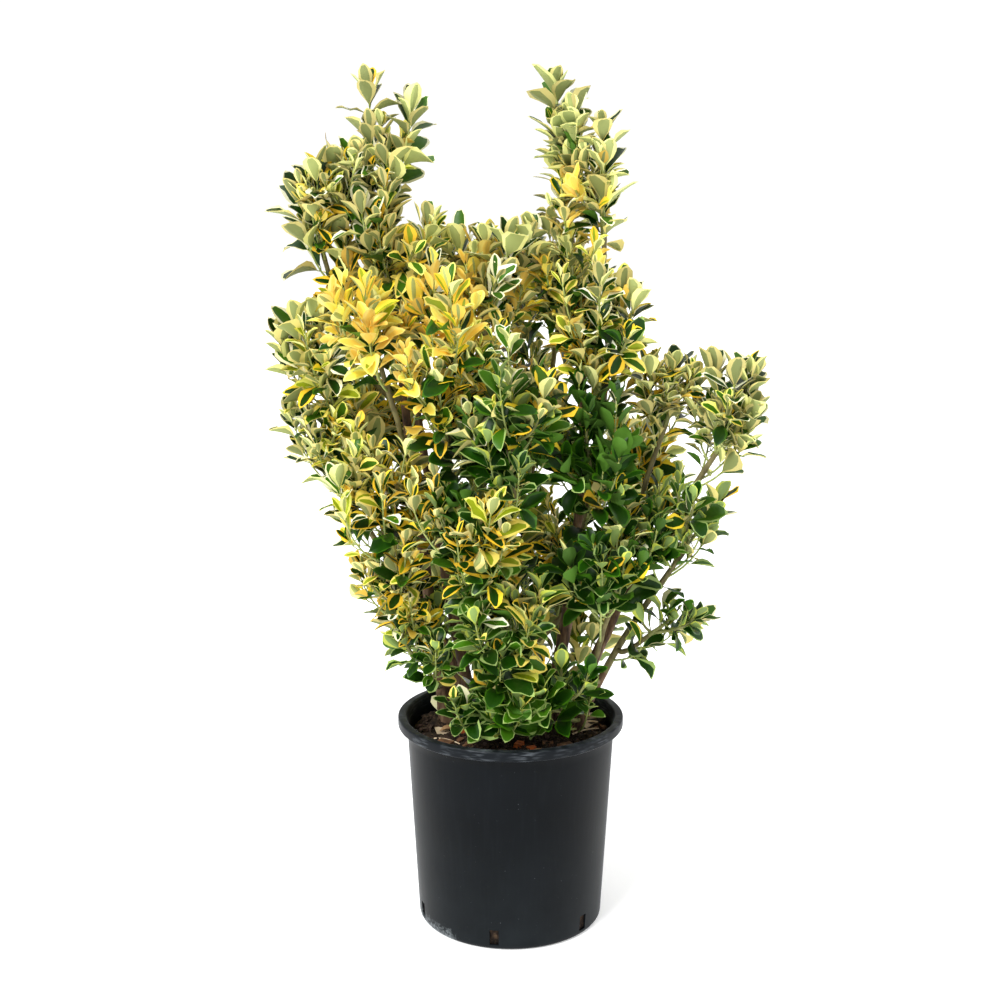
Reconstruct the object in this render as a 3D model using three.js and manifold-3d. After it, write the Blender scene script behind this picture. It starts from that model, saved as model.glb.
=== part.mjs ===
// A potted Japanese spindle: a bushy evergreen shrub with cream and gold edged leaves,
// grown on nine stems in a black nursery pot.
// Millimetres, +Z up, front towards -Y. The origin is the centre of the pot's flat underside.
import * as THREE from 'three';
import { mergeVertices } from 'three/addons/utils/BufferGeometryUtils.js';
import Module from 'manifold-3d';

const manifold = await Module();
manifold.setup();

// Clearance between solids that meet
const GAP = 0.3;

// Pot
const POT_HEIGHT = 280;
const RIM_RADIUS = 150;
const RIM_BAND = 13;
const LIP_INNER_RADIUS = 139;
const WALL_TOP_RADIUS = 138;
const BASE_RADIUS = 123;
const BASE_CORNER = 6;
const WALL = 2.4;
const FLOOR = 3;
const EDGE_ROUND = 1.5;
const POT_SIDES = 36;

// Drainage slots through the foot of the wall
const SLOT_COUNT = 6;
const SLOT_FIRST_ANGLE = -100;
const SLOT_WIDTH = 12;
const SLOT_DEPTH = 24;
const SLOT_BOTTOM = 7;
const SLOT_TOP = 28;

// Potting soil, level where the stems rise and a little lower along the wall
const SOIL_TOP = 256;
const SOIL_EDGE_DROP = 5;
const SOIL_EDGE_WIDTH = 16;

// Limbs
const ROOT_FLARE = 1.35;
const FOOT_ZONE = 8;
const STEM_SIDES = 7;
const STEM_STEPS = 6;
const FLARE_LENGTH = 1 / STEM_STEPS;
const FLAT_SIDE_SHARE = 0.88;
const SEAT_STEP = 0.1;
const BOUGH_SIDES = 6;
const BOUGH_STEPS = 5;
const BOUGH_SPRING = 0.22;

// Stems: foot on the soil, bend that the stem leans towards, tip inside its mass
const STEMS = {
  stem_left: { foot: [-85, 35], bend: [-130, 40, 560], tip: [-160, 20, 940], radii: [9, 3.4] },
  stem_left_inner: { foot: [-45, 8], bend: [-98, -20, 520], tip: [-142, -12, 850], radii: [8, 3.4] },
  stem_front: { foot: [-28, -20], bend: [2, -70, 480], tip: [2, -138, 655], radii: [6.5, 3.2] },
  stem_crest: { foot: [2, 22], bend: [-18, 30, 560], tip: [-34, -18, 810], radii: [7, 3.2] },
  stem_right_tower: { foot: [50, 40], bend: [128, 45, 600], tip: [70, 20, 950], radii: [9.5, 3.4] },
  stem_right: { foot: [78, 28], bend: [120, 10, 400], tip: [262, -15, 632], radii: [8.5, 3.4] },
  stem_right_low: { foot: [88, -12], bend: [125, -25, 370], tip: [222, -28, 505], radii: [5.5, 3] },
  stem_back: { foot: [10, 78], bend: [0, 110, 470], tip: [0, 170, 620], radii: [7.5, 3.4] },
  stem_back_left: { foot: [-48, 70], bend: [-130, 100, 430], tip: [-200, 128, 610], radii: [7.5, 3.4] },
};

// Boughs: the stem that each springs from, its height there, tip inside its mass
const BOUGHS = {
  bough_shoulder: { from: 'stem_left', at: 700, tip: [-236, 0, 885], radii: [4.2, 3] },
  bough_left_outer: { from: 'stem_left', at: 560, tip: [-232, -15, 715], radii: [4.8, 3] },
  bough_left_arm: { from: 'stem_left', at: 460, tip: [-228, -15, 618], radii: [4.4, 3] },
  bough_left_low: { from: 'stem_left', at: 385, tip: [-165, -70, 560], radii: [4.2, 3] },
  bough_gold_left: { from: 'stem_left_inner', at: 600, tip: [-160, -95, 760], radii: [4.4, 3] },
  bough_gold_front: { from: 'stem_left_inner', at: 520, tip: [-80, -110, 730], radii: [4.4, 3] },
  bough_centre_mid: { from: 'stem_front', at: 390, tip: [-50, -130, 505], radii: [4, 3] },
  bough_right_outer: { from: 'stem_right_tower', at: 780, tip: [116, -12, 925], radii: [4, 3] },
  bough_right_upper: { from: 'stem_right_tower', at: 600, tip: [122, -25, 735], radii: [4.4, 3] },
  bough_right_shoulder: { from: 'stem_right', at: 490, tip: [200, 10, 665], radii: [4.4, 3] },
  bough_centre_right: { from: 'stem_right_tower', at: 430, tip: [98, -85, 600], radii: [4.4, 3] },
  bough_right_mid: { from: 'stem_right_low', at: 330, tip: [130, -90, 465], radii: [3.8, 3] },
  bough_low_right: { from: 'stem_right_low', at: 375, tip: [178, -45, 400], radii: [3.6, 2.8] },
  bough_back_right: { from: 'stem_back', at: 345, tip: [176, 120, 550], radii: [5, 3] },
  bough_back_left_top: { from: 'stem_left_inner', at: 690, tip: [-125, 110, 800], radii: [4.2, 3] },
  bough_back_right_top: { from: 'stem_back', at: 540, tip: [65, 130, 790], radii: [4.6, 3] },
};

// Masses of foliage: the limb that carries each, at its tip or at a height on its side,
// the centre and half sizes of the space that the mass fills, and its highest or furthest tips,
// as places from the centre
const MASSES = {
  left_tower: {
    on: 'stem_left', centre: [-162, 15, 1015], reach: [48, 48, 94],
    tips: [[-14, 0, 68], [37, -6, 40]],
  },
  left_shoulder: {
    on: 'bough_shoulder', centre: [-230, -5, 970], reach: [42, 50, 50],
    tips: [[8, 0, 20], [-32, -10, -20]],
  },
  left_upper: { on: 'stem_left_inner', centre: [-154, -25, 895], reach: [78, 76, 74] },
  left_outer: {
    on: 'bough_left_outer', centre: [-230, -20, 766], reach: [64, 70, 66],
    tips: [[-60, 0, 12]],
  },
  left_arm: { on: 'bough_left_arm', centre: [-236, -20, 672], reach: [58, 62, 46] },
  left_low: { on: 'bough_left_low', centre: [-160, -80, 610], reach: [68, 74, 70] },
  left_skirt: { on: 'stem_left', at: 370, centre: [-150, -60, 500], reach: [60, 70, 64] },
  left_foot: { on: 'stem_left', at: 310, centre: [-114, -45, 402], reach: [56, 64, 54], look: 'green' },
  gold_left: { on: 'bough_gold_left', centre: [-165, -110, 815], reach: [72, 68, 76], look: 'gold' },
  gold_front: { on: 'bough_gold_front', centre: [-78, -120, 785], reach: [66, 72, 90], look: 'gold' },
  gold_crest: {
    on: 'stem_crest', centre: [-35, -20, 860], reach: [68, 74, 78], look: 'gold',
    tips: [[4, 0, 42]],
  },
  centre_front: { on: 'stem_front', centre: [3, -135, 705], reach: [70, 78, 86] },
  centre_middle: { on: 'bough_centre_mid', centre: [-50, -130, 575], reach: [80, 82, 84] },
  centre_low: { on: 'stem_front', at: 370, centre: [-5, -115, 448], reach: [74, 74, 74], look: 'green' },
  foot_front: { on: 'stem_front', at: 282, centre: [-22, -92, 335], reach: [64, 54, 52], look: 'green' },
  foot_right: {
    on: 'stem_right_low', at: 275, centre: [64, -85, 352], reach: [58, 54, 62], look: 'green',
  },
  right_tower: {
    on: 'stem_right_tower', centre: [74, 20, 1030], reach: [32, 42, 88],
    tips: [[-18, 0, 54]],
  },
  right_tower_outer: {
    on: 'bough_right_outer', centre: [92, -15, 985], reach: [36, 48, 78],
    tips: [[-12, 10, 50], [20, -5, 50]],
  },
  right_neck: { on: 'stem_right_tower', at: 800, centre: [76, -10, 886], reach: [72, 70, 62] },
  right_upper: { on: 'bough_right_upper', centre: [116, -40, 790], reach: [72, 76, 76] },
  right_shoulder: {
    on: 'bough_right_shoulder', centre: [202, 10, 722], reach: [56, 62, 58],
    tips: [[-24, -10, 14], [8, 0, 16]],
  },
  centre_right: { on: 'bough_centre_right', centre: [92, -95, 655], reach: [74, 80, 76] },
  right_middle: { on: 'bough_right_mid', centre: [125, -92, 528], reach: [76, 76, 66], look: 'green' },
  far_right: {
    on: 'stem_right', centre: [264, -20, 692], reach: [50, 62, 70],
    tips: [[-6, 0, 38], [48, 0, 40], [42, -10, -10]],
  },
  right_low: { on: 'stem_right_low', centre: [214, -25, 568], reach: [60, 68, 64], look: 'green' },
  low_right: { on: 'bough_low_right', centre: [208, -40, 422], reach: [62, 52, 42], look: 'green' },
  back_left_top: { on: 'bough_back_left_top', centre: [-115, 110, 860], reach: [92, 78, 80] },
  back_right_top: { on: 'bough_back_right_top', centre: [62, 125, 850], reach: [92, 80, 82] },
  back_left: { on: 'stem_back_left', centre: [-195, 115, 680], reach: [80, 84, 80] },
  back_middle: { on: 'stem_back', centre: [-8, 120, 674], reach: [104, 96, 102] },
  back_right: { on: 'bough_back_right', centre: [178, 120, 610], reach: [84, 84, 72] },
  back_left_low: {
    on: 'stem_back_left', at: 350, centre: [-112, 120, 478], reach: [92, 86, 86], look: 'green',
  },
  back_right_low: {
    on: 'stem_back', at: 405, centre: [90, 115, 492], reach: [94, 88, 68], look: 'green',
  },
};

// Growth of a mass: twigs spring from one stem and end on a spiral over the mass's space,
// a leaf's length inside it
const GOLDEN_ANGLE = Math.PI * (3 - Math.sqrt(5));
const TWIG_COUNT = 3;
const LOWEST_TWIG = -0.7;
const HIGHEST_TWIG = 0.45;
const TWIG_DROP = 30;
const TWIG_SLACK = 0.25;
const LOWEST_SPRING = 0.12;
const HIGHEST_SPRING = 0.8;
const STEM_SPRING = 0.4;
const TWIG_REACH = 0.62;
const TOP_REACH = 0.25;
const PULL_BACK = [1, 0.7, 0.45];
const TIP_ROOM = 28;
const MASS_STEM_RADII = [3, 2.4];
const MASS_STEM_SIDES = 4;
const MASS_STEM_STEPS = 3;
const TWIG_RADII = [2.6, 2];
const TWIG_SIDES = 4;
const TWIG_STEPS = 1;
const SPACE_LIMIT = 1.2;
const SPACE_MARGIN = 0.6;
const LEAF_ROOM = 1;

// Leaves, in whorls at each shoot's end: steps back from the end, leaves there and their splay
const LEAF_LENGTH = 80;
const LEAF_WIDTH = 0.62;
const LEAF_THICKNESS = 2.4;
const LEAF_WIDEST = 0.58;
const LEAF_FOLD = 3;
const LEAF_ROOT = 0.3;
const CROSSING_ROOT = 0.12;
const SEEDS_PER_MASS = 100;
const LEAF_SIZE_SPREAD = 0.08;
const LEAF_ROLL = 35;
const LEAF_TRIES = [
  { size: 1, splay: 1 },
  { size: 1, splay: 0.6 },
  { size: 1, splay: 1.35 },
  { size: 0.8, splay: 1 },
  { size: 0.8, splay: 0.6 },
  { size: 0.8, splay: 1.35 },
  { size: 0.62, splay: 1 },
];
const USUAL_REACH = 66;
const SMALLEST_SHARE = 0.75;
const LARGEST_SHARE = 1.2;
const PAIR_SPACING = 28;
const FIRST_PAIR_BACK = 4;
const MOST_PAIRS = 5;
const SPLAY_AT_END = 22;
const SPLAY_PER_PAIR = 20;
const WIDEST_SPLAY = 66;

const MATERIALS = {
  pot: { color: 0x20242a, roughness: 0.42 },
  soil: { color: 0x34261d, roughness: 1 },
  bark: { color: 0x5a4634, roughness: 0.85 },
  green: { color: 0x4c7a35, roughness: 0.5 },
  variegated: { color: 0x96a862, roughness: 0.5 },
  gold: { color: 0xd0b447, roughness: 0.5 },
};

const group = new THREE.Group();

function addPart(name, geometry, look) {
  geometry.computeVertexNormals();
  const mesh = new THREE.Mesh(geometry, new THREE.MeshStandardMaterial({ metalness: 0, ...MATERIALS[look] }));
  mesh.name = name;
  group.add(mesh);
}

function vector(point) {
  return new THREE.Vector3(...point);
}

// Solids for joining and cutting

function solidOf(geometry) {
  geometry.deleteAttribute('normal');
  geometry.deleteAttribute('uv');
  const merged = mergeVertices(geometry, 1e-4);
  return new manifold.Manifold(new manifold.Mesh({
    numProp: 3,
    vertProperties: new Float32Array(merged.attributes.position.array),
    triVerts: new Uint32Array(merged.index.array),
  }));
}

function geometryOf(solid) {
  const mesh = solid.getMesh();
  const geometry = new THREE.BufferGeometry();
  geometry.setAttribute('position', new THREE.BufferAttribute(mesh.vertProperties, 3));
  geometry.setIndex(new THREE.BufferAttribute(mesh.triVerts, 1));
  return geometry;
}

// The outer body alone: no loose scrap, and any hollow that fusing sealed is filled
function largestBody(solid) {
  const bodies = solid.decompose();
  return bodies.reduce((best, body) => (body.volume() > best.volume() ? body : best));
}

// Seeded draws between 0 and 1, the same for the same seed
function seededDraw(seed) {
  let state = seed >>> 0;
  return () => {
    state = (state + 0x6d2b79f5) >>> 0;
    let mixed = state;
    mixed = Math.imul(mixed ^ (mixed >>> 15), mixed | 1);
    mixed ^= mixed + Math.imul(mixed ^ (mixed >>> 7), mixed | 61);
    return ((mixed ^ (mixed >>> 14)) >>> 0) / 4294967296;
  };
}

// Pot and soil

function wallRadiusAt(height) {
  return BASE_RADIUS + (WALL_TOP_RADIUS - BASE_RADIUS) * (height / (POT_HEIGHT - RIM_BAND));
}

function lathe(profile) {
  const points = profile.map(([radius, height]) => new THREE.Vector2(radius, height));
  const geometry = new THREE.LatheGeometry(points, POT_SIDES);
  geometry.rotateX(Math.PI / 2);
  return solidOf(geometry);
}

function drainageSlot(number) {
  const slot = new THREE.BoxGeometry(SLOT_DEPTH, SLOT_WIDTH, SLOT_TOP - SLOT_BOTTOM);
  slot.translate(BASE_RADIUS, 0, (SLOT_TOP + SLOT_BOTTOM) / 2);
  slot.rotateZ(THREE.MathUtils.degToRad(SLOT_FIRST_ANGLE + number * 360 / SLOT_COUNT));
  return solidOf(slot);
}

function makePot() {
  const bandBottom = POT_HEIGHT - RIM_BAND;
  let pot = lathe([
    [0, 0],
    [BASE_RADIUS - BASE_CORNER, 0],
    [BASE_RADIUS - BASE_CORNER * 0.3, BASE_CORNER * 0.3],
    [wallRadiusAt(BASE_CORNER), BASE_CORNER],
    [WALL_TOP_RADIUS, bandBottom],
    [RIM_RADIUS - EDGE_ROUND, bandBottom],
    [RIM_RADIUS, bandBottom + EDGE_ROUND],
    [RIM_RADIUS, POT_HEIGHT - EDGE_ROUND],
    [RIM_RADIUS - EDGE_ROUND, POT_HEIGHT],
    [LIP_INNER_RADIUS, POT_HEIGHT],
    [WALL_TOP_RADIUS - WALL, bandBottom],
    [wallRadiusAt(FLOOR) - WALL, FLOOR],
    [0, FLOOR],
  ]);
  for (let number = 0; number < SLOT_COUNT; number += 1) {
    pot = pot.subtract(drainageSlot(number));
  }
  addPart('pot', geometryOf(pot), 'pot');
}

function makeSoil() {
  const inside = WALL + GAP;
  const edge = SOIL_TOP - SOIL_EDGE_DROP;
  const soil = lathe([
    [0, FLOOR + GAP],
    [wallRadiusAt(FLOOR) - inside, FLOOR + GAP],
    [wallRadiusAt(edge) - inside, edge],
    [wallRadiusAt(edge) - inside - SOIL_EDGE_WIDTH, SOIL_TOP],
    [0, SOIL_TOP],
  ]);
  addPart('soil', geometryOf(soil), 'soil');
}

// Limbs: tapering tubes bent along a curve

function bentTube(curve, radiusAt, sides, steps) {
  const geometry = new THREE.CylinderGeometry(1, 1, 1, sides, steps);
  const frames = curve.computeFrenetFrames(steps, false);
  geometry.userData = { frames, sides, steps };
  const position = geometry.attributes.position;
  for (let index = 0; index < position.count; index += 1) {
    const along = position.getY(index) + 0.5;
    const step = Math.round(along * steps);
    const radius = radiusAt(along);
    const place = curve.getPoint(along);
    place.addScaledVector(frames.normals[step], position.getX(index) * radius);
    place.addScaledVector(frames.binormals[step], -position.getZ(index) * radius);
    position.setXYZ(index, place.x, place.y, place.z);
  }
  return geometry;
}

function taper([foot, tip]) {
  return (along) => foot + (tip - foot) * along;
}

function flaredTaper(radii) {
  const plain = taper(radii);
  return (along) => plain(along) * (1 + (ROOT_FLARE - 1) * Math.max(0, 1 - along / FLARE_LENGTH));
}

// The middle of a limb at a height, and the way out of its side towards a target
function sideOf(limb, height, target) {
  let low = 0;
  let high = 1;
  while (high - low > 1e-4) {
    const middle = (low + high) / 2;
    if (limb.curve.getPoint(middle).z < height) {
      low = middle;
    } else {
      high = middle;
    }
  }
  const centre = limb.curve.getPoint(low);
  const outward = target.clone().sub(centre).projectOnPlane(limb.curve.getTangent(low)).normalize();
  return { centre, outward, radius: limb.radiusAt(low) };
}

// Grows a shoot from a limb's side, starting just far enough out to be clear of the limb
function growFromSide(limb, height, target, grow) {
  const { centre, outward, radius } = sideOf(limb, height, target);
  for (let start = radius * FLAT_SIDE_SHARE; ; start += SEAT_STEP) {
    const shoot = grow(centre.clone().addScaledVector(outward, start), outward);
    if (solidOf(shoot.tube).intersect(limb.around).isEmpty()) {
      return shoot;
    }
  }
}

// Grows a shoot from a limb's tip
function growFromTip(limb, grow) {
  const outward = limb.curve.getTangent(1);
  return grow(limb.curve.getPoint(1).addScaledVector(outward, GAP), outward);
}

const limbs = {};

function addLimb(name, { curve, radiusAt, sides, steps, tube }) {
  addPart(name, geometryOf(solidOf(tube)), 'bark');
  const roomAround = bentTube(curve, (along) => radiusAt(along) + GAP, sides, steps);
  limbs[name] = { curve, radiusAt, around: solidOf(roomAround) };
}

// Levels the foot of a stem where it stands on the soil
function cutLevel(tube) {
  const position = tube.attributes.position;
  for (let index = 0; index < position.count; index += 1) {
    if (position.getZ(index) < SOIL_TOP + FOOT_ZONE) {
      position.setZ(index, SOIL_TOP + GAP);
    }
  }
  return tube;
}

function makeStems() {
  for (const [name, stem] of Object.entries(STEMS)) {
    const foot = vector([...stem.foot, SOIL_TOP + GAP]);
    const curve = new THREE.QuadraticBezierCurve3(foot, vector(stem.bend), vector(stem.tip));
    const radiusAt = flaredTaper(stem.radii);
    const tube = cutLevel(bentTube(curve, radiusAt, STEM_SIDES, STEM_STEPS));
    addLimb(name, { curve, radiusAt, sides: STEM_SIDES, steps: STEM_STEPS, tube });
  }
}

function boughFrom(bough, foot, outward) {
  const tip = vector(bough.tip);
  const bend = foot.clone().addScaledVector(outward, BOUGH_SPRING * foot.distanceTo(tip));
  const curve = new THREE.QuadraticBezierCurve3(foot, bend, tip);
  const radiusAt = taper(bough.radii);
  const tube = bentTube(curve, radiusAt, BOUGH_SIDES, BOUGH_STEPS);
  return { curve, radiusAt, sides: BOUGH_SIDES, steps: BOUGH_STEPS, tube };
}

function makeBoughs() {
  for (const [name, bough] of Object.entries(BOUGHS)) {
    const grow = (foot, outward) => boughFrom(bough, foot, outward);
    addLimb(name, growFromSide(limbs[bough.from], bough.at, vector(bough.tip), grow));
  }
}

// Space of a mass: its ellipsoid, cut by one flat plane against each other mass

function reachAlong(mass, direction) {
  return vector(mass.reach).multiply(direction).length();
}

function cuttingPlanes(mass) {
  const planes = [];
  for (const other of Object.values(MASSES)) {
    if (other === mass) {
      continue;
    }
    const apart = vector(other.centre).sub(vector(mass.centre));
    const direction = apart.clone().normalize();
    const own = reachAlong(mass, direction);
    const share = own / (own + reachAlong(other, direction));
    planes.push({ direction, limit: apart.length() * share - SPACE_MARGIN });
  }
  return planes;
}

function spaceOf(mass) {
  const centre = vector(mass.centre);
  const reach = vector(mass.reach);
  const planes = cuttingPlanes(mass);
  return (point) => {
    const from = point.clone().sub(centre);
    if (from.clone().divide(reach).length() > SPACE_LIMIT) {
      return false;
    }
    return planes.every((plane) => from.dot(plane.direction) < plane.limit);
  };
}

function staysInside(geometry, holds) {
  const position = geometry.attributes.position;
  for (let index = 0; index < position.count; index += 1) {
    if (!holds(new THREE.Vector3().fromBufferAttribute(position, index))) {
      return false;
    }
  }
  return true;
}

// What leaves and twigs keep clear of: every limb, the soil, the pot's rim
// and the stems of the other masses
const obstacles = {};

function gatherObstacles() {
  obstacles.pot = lathe([
    [0, SOIL_TOP - RIM_BAND],
    [RIM_RADIUS + LEAF_ROOM, SOIL_TOP - RIM_BAND],
    [RIM_RADIUS + LEAF_ROOM, POT_HEIGHT + LEAF_ROOM],
    [LIP_INNER_RADIUS - LEAF_ROOM, POT_HEIGHT + LEAF_ROOM],
    [LIP_INNER_RADIUS - RIM_BAND / 2, SOIL_TOP + LEAF_ROOM],
    [0, SOIL_TOP + LEAF_ROOM],
  ]);
  for (const [name, limb] of Object.entries(limbs)) {
    obstacles[name] = limb.around;
  }
  for (const [name, mass] of Object.entries(MASSES)) {
    obstacles[name] = solidOf(massStemTube(massStem(mass).curve, GAP));
  }
}

function touchesObstacle(solid, ownName) {
  return Object.entries(obstacles).some(([name, obstacle]) => (
    name !== ownName && !obstacle.intersect(solid).isEmpty()
  ));
}

// Leaves: an octahedron drawn out into a folded blade, its root sunk in the shoot

function leafBlade({ root, axis, outward, splay, roll, length }, rootLeftOut) {
  const blade = new THREE.OctahedronGeometry(1);
  const lean = THREE.MathUtils.degToRad(splay);
  const heading = axis.clone().multiplyScalar(Math.cos(lean)).addScaledVector(outward, Math.sin(lean));
  const across = outward.clone().cross(axis).normalize().applyAxisAngle(heading, roll);
  const facing = heading.clone().cross(across);
  const position = blade.attributes.position;
  for (let index = 0; index < position.count; index += 1) {
    const end = position.getX(index);
    const aside = position.getY(index);
    const forward = end > 0.5 ? 1 : end < -0.5 ? rootLeftOut : LEAF_WIDEST;
    const raised = position.getZ(index) * LEAF_THICKNESS / 2 + Math.abs(aside) * LEAF_FOLD;
    const place = root.clone();
    place.addScaledVector(heading, forward * length);
    place.addScaledVector(across, aside * LEAF_WIDTH * length / 2);
    place.addScaledVector(facing, raised);
    position.setXYZ(index, place.x, place.y, place.z);
  }
  return blade;
}

// The direction in which one flat side of a shoot faces
function facingOfSide({ frames, sides, steps }, along, side) {
  const step = Math.min(steps - 1, Math.floor(along * steps));
  const turn = (side + 0.5) * 2 * Math.PI / sides;
  const facing = frames.normals[step].clone().multiplyScalar(Math.sin(turn));
  return facing.addScaledVector(frames.binormals[step], -Math.cos(turn)).normalize();
}

function leavesOfShoot({ curve, tube }, draw, leafLength) {
  const leaves = [];
  const shootLength = curve.getLength();
  const pairCount = Math.min(MOST_PAIRS, Math.floor((shootLength - FIRST_PAIR_BACK) / PAIR_SPACING + 0.6));
  for (let pair = 0; pair < pairCount; pair += 1) {
    const along = 1 - (FIRST_PAIR_BACK + pair * PAIR_SPACING) / shootLength;
    const axis = curve.getTangent(along);
    const usualSplay = Math.min(WIDEST_SPLAY, SPLAY_AT_END + pair * SPLAY_PER_PAIR);
    for (const side of [pair % 2, pair % 2 + 2]) {
      const outward = facingOfSide(tube.userData, along, side).projectOnPlane(axis).normalize();
      const root = curve.getPoint(along).addScaledVector(outward, LEAF_ROOT);
      const splay = usualSplay * (0.85 + 0.3 * draw());
      const roll = THREE.MathUtils.degToRad(LEAF_ROLL * (2 * draw() - 1));
      const length = leafLength * (1 + LEAF_SIZE_SPREAD * (2 * draw() - 1));
      leaves.push({ root, axis, outward, splay, roll, length });
    }
  }
  return leaves;
}

// A mass of foliage

function leafLengthOf(mass) {
  const share = Math.min(...mass.reach) / USUAL_REACH;
  return LEAF_LENGTH * THREE.MathUtils.clamp(share, SMALLEST_SHARE, LARGEST_SHARE);
}

// Where a shoot that heads for the rim of the space ends
function shootEnd(mass, direction, share) {
  return direction.clone().multiply(vector(mass.reach)).multiplyScalar(share).add(vector(mass.centre));
}

function massStemTube(curve, extraRadius) {
  const plain = taper(MASS_STEM_RADII);
  return bentTube(curve, (along) => plain(along) + extraRadius, MASS_STEM_SIDES, MASS_STEM_STEPS);
}

function massStem(mass) {
  const top = shootEnd(mass, new THREE.Vector3(0, 0, 1), TOP_REACH);
  const grow = (foot, outward) => {
    const spring = foot.distanceTo(top) * STEM_SPRING;
    const leaving = foot.clone().addScaledVector(outward, spring);
    const arriving = top.clone().sub(new THREE.Vector3(0, 0, spring));
    const curve = new THREE.CubicBezierCurve3(foot, leaving, arriving, top);
    return { curve, tube: massStemTube(curve, 0) };
  };
  const limb = limbs[mass.on];
  return mass.at ? growFromSide(limb, mass.at, vector(mass.centre), grow) : growFromTip(limb, grow);
}

// The place on the spiral where a twig ends
function spiralEnd(mass, number, pull) {
  const rise = LOWEST_TWIG + (HIGHEST_TWIG - LOWEST_TWIG) * (number + 0.5) / TWIG_COUNT;
  const turn = number * GOLDEN_ANGLE + mass.centre[0];
  const around = Math.sqrt(1 - rise * rise);
  const direction = new THREE.Vector3(around * Math.cos(turn), around * Math.sin(turn), rise);
  return shootEnd(mass, direction, TWIG_REACH * pull);
}

// The place where a twig ends so that its leaves rise to one of the mass's tips
function tipEnd(mass, tip, pull) {
  const way = vector(tip).sub(new THREE.Vector3(0, 0, TIP_ROOM));
  return vector(mass.centre).addScaledVector(way, pull);
}

// A twig leaves the stem lower than it ends, and rises to its end
function twigTo(stem, end) {
  const first = stem.getPoint(0);
  const last = stem.getPoint(1);
  const climbed = (end.z - TWIG_DROP - first.z) / (last.z - first.z);
  const foot = stem.getPoint(THREE.MathUtils.clamp(climbed, LOWEST_SPRING, HIGHEST_SPRING));
  const bend = new THREE.Vector3(end.x, end.y, foot.z).lerp(foot, TWIG_SLACK).lerp(end, TWIG_SLACK);
  const curve = new THREE.QuadraticBezierCurve3(foot, bend, end);
  return { curve, tube: bentTube(curve, taper(TWIG_RADII), TWIG_SIDES, TWIG_STEPS) };
}

// The mass's stem and its twigs, each drawn back towards the middle until it fits
function growShoots(mass, fits) {
  const stem = massStem(mass);
  const shoots = [stem];
  const ends = [];
  for (let number = 0; number < TWIG_COUNT; number += 1) {
    ends.push((pull) => spiralEnd(mass, number, pull));
  }
  for (const tip of mass.tips ?? []) {
    ends.push((pull) => tipEnd(mass, tip, pull));
  }
  for (const endAt of ends) {
    for (const pull of PULL_BACK) {
      const twig = twigTo(stem.curve, endAt(pull));
      if (fits(twig.tube)) {
        shoots.push(twig);
        break;
      }
    }
  }
  return shoots;
}

// Leaves that fit, each clear of the wood and of the leaves before it past its own root
function growLeaves(shoots, wood, leafLength, seed, fits) {
  const blades = [];
  shoots.forEach((shoot, number) => {
    const draw = seededDraw(seed * SEEDS_PER_MASS + number);
    for (const leaf of leavesOfShoot(shoot, draw, leafLength)) {
      for (const change of LEAF_TRIES) {
        const tried = { ...leaf, length: leaf.length * change.size, splay: leaf.splay * change.splay };
        const outer = solidOf(leafBlade(tried, CROSSING_ROOT));
        const isClear = [...wood, ...blades].every((other) => other.intersect(outer).isEmpty());
        if (isClear && fits(leafBlade(tried, 0))) {
          blades.push(solidOf(leafBlade(tried, 0)));
          break;
        }
      }
    }
  });
  return blades;
}

function growMass(name, mass, seed) {
  const holds = spaceOf(mass);
  const fits = (geometry) => staysInside(geometry, holds) && !touchesObstacle(solidOf(geometry), name);
  const shoots = growShoots(mass, fits);
  const wood = shoots.map((shoot) => solidOf(shoot.tube));
  const blades = growLeaves(shoots, wood, leafLengthOf(mass), seed, fits);
  const whole = manifold.Manifold.union([...wood, ...blades]);
  addPart(name, geometryOf(largestBody(whole)), mass.look ?? 'variegated');
}

makePot();
makeSoil();
makeStems();
makeBoughs();
gatherObstacles();
Object.entries(MASSES).forEach(([name, mass], index) => growMass(name, mass, index + 1));

export default group;
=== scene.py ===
"""Looks of a potted Japanese spindle, a variegated evergreen shrub in a black nursery pot.

Lengths are in millimetres, as in the part's own tables, and each mesh is made in metres.
The front is towards -Y, and +Z is up.
"""

import math

import bpy
import numpy as np
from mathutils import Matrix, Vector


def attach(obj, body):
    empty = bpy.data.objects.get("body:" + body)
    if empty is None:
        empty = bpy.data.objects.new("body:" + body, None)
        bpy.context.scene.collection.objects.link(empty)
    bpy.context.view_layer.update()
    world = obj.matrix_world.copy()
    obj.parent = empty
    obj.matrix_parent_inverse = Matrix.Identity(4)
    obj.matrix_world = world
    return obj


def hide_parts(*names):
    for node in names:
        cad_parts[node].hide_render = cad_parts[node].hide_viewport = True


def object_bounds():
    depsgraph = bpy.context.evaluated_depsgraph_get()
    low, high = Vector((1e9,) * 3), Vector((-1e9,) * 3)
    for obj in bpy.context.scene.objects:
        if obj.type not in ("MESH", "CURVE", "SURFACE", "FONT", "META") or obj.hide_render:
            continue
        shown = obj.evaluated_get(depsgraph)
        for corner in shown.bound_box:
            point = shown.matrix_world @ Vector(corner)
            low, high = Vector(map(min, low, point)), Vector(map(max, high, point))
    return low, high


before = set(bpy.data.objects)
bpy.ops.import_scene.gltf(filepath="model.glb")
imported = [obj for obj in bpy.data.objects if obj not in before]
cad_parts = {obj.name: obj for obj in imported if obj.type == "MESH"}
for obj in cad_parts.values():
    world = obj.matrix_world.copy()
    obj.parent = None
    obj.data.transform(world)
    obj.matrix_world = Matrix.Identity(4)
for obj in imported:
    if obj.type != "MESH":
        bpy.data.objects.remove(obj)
cad_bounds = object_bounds()

MM = 0.001
GOLDEN_ANGLE = math.pi * (3 - math.sqrt(5))

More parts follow.
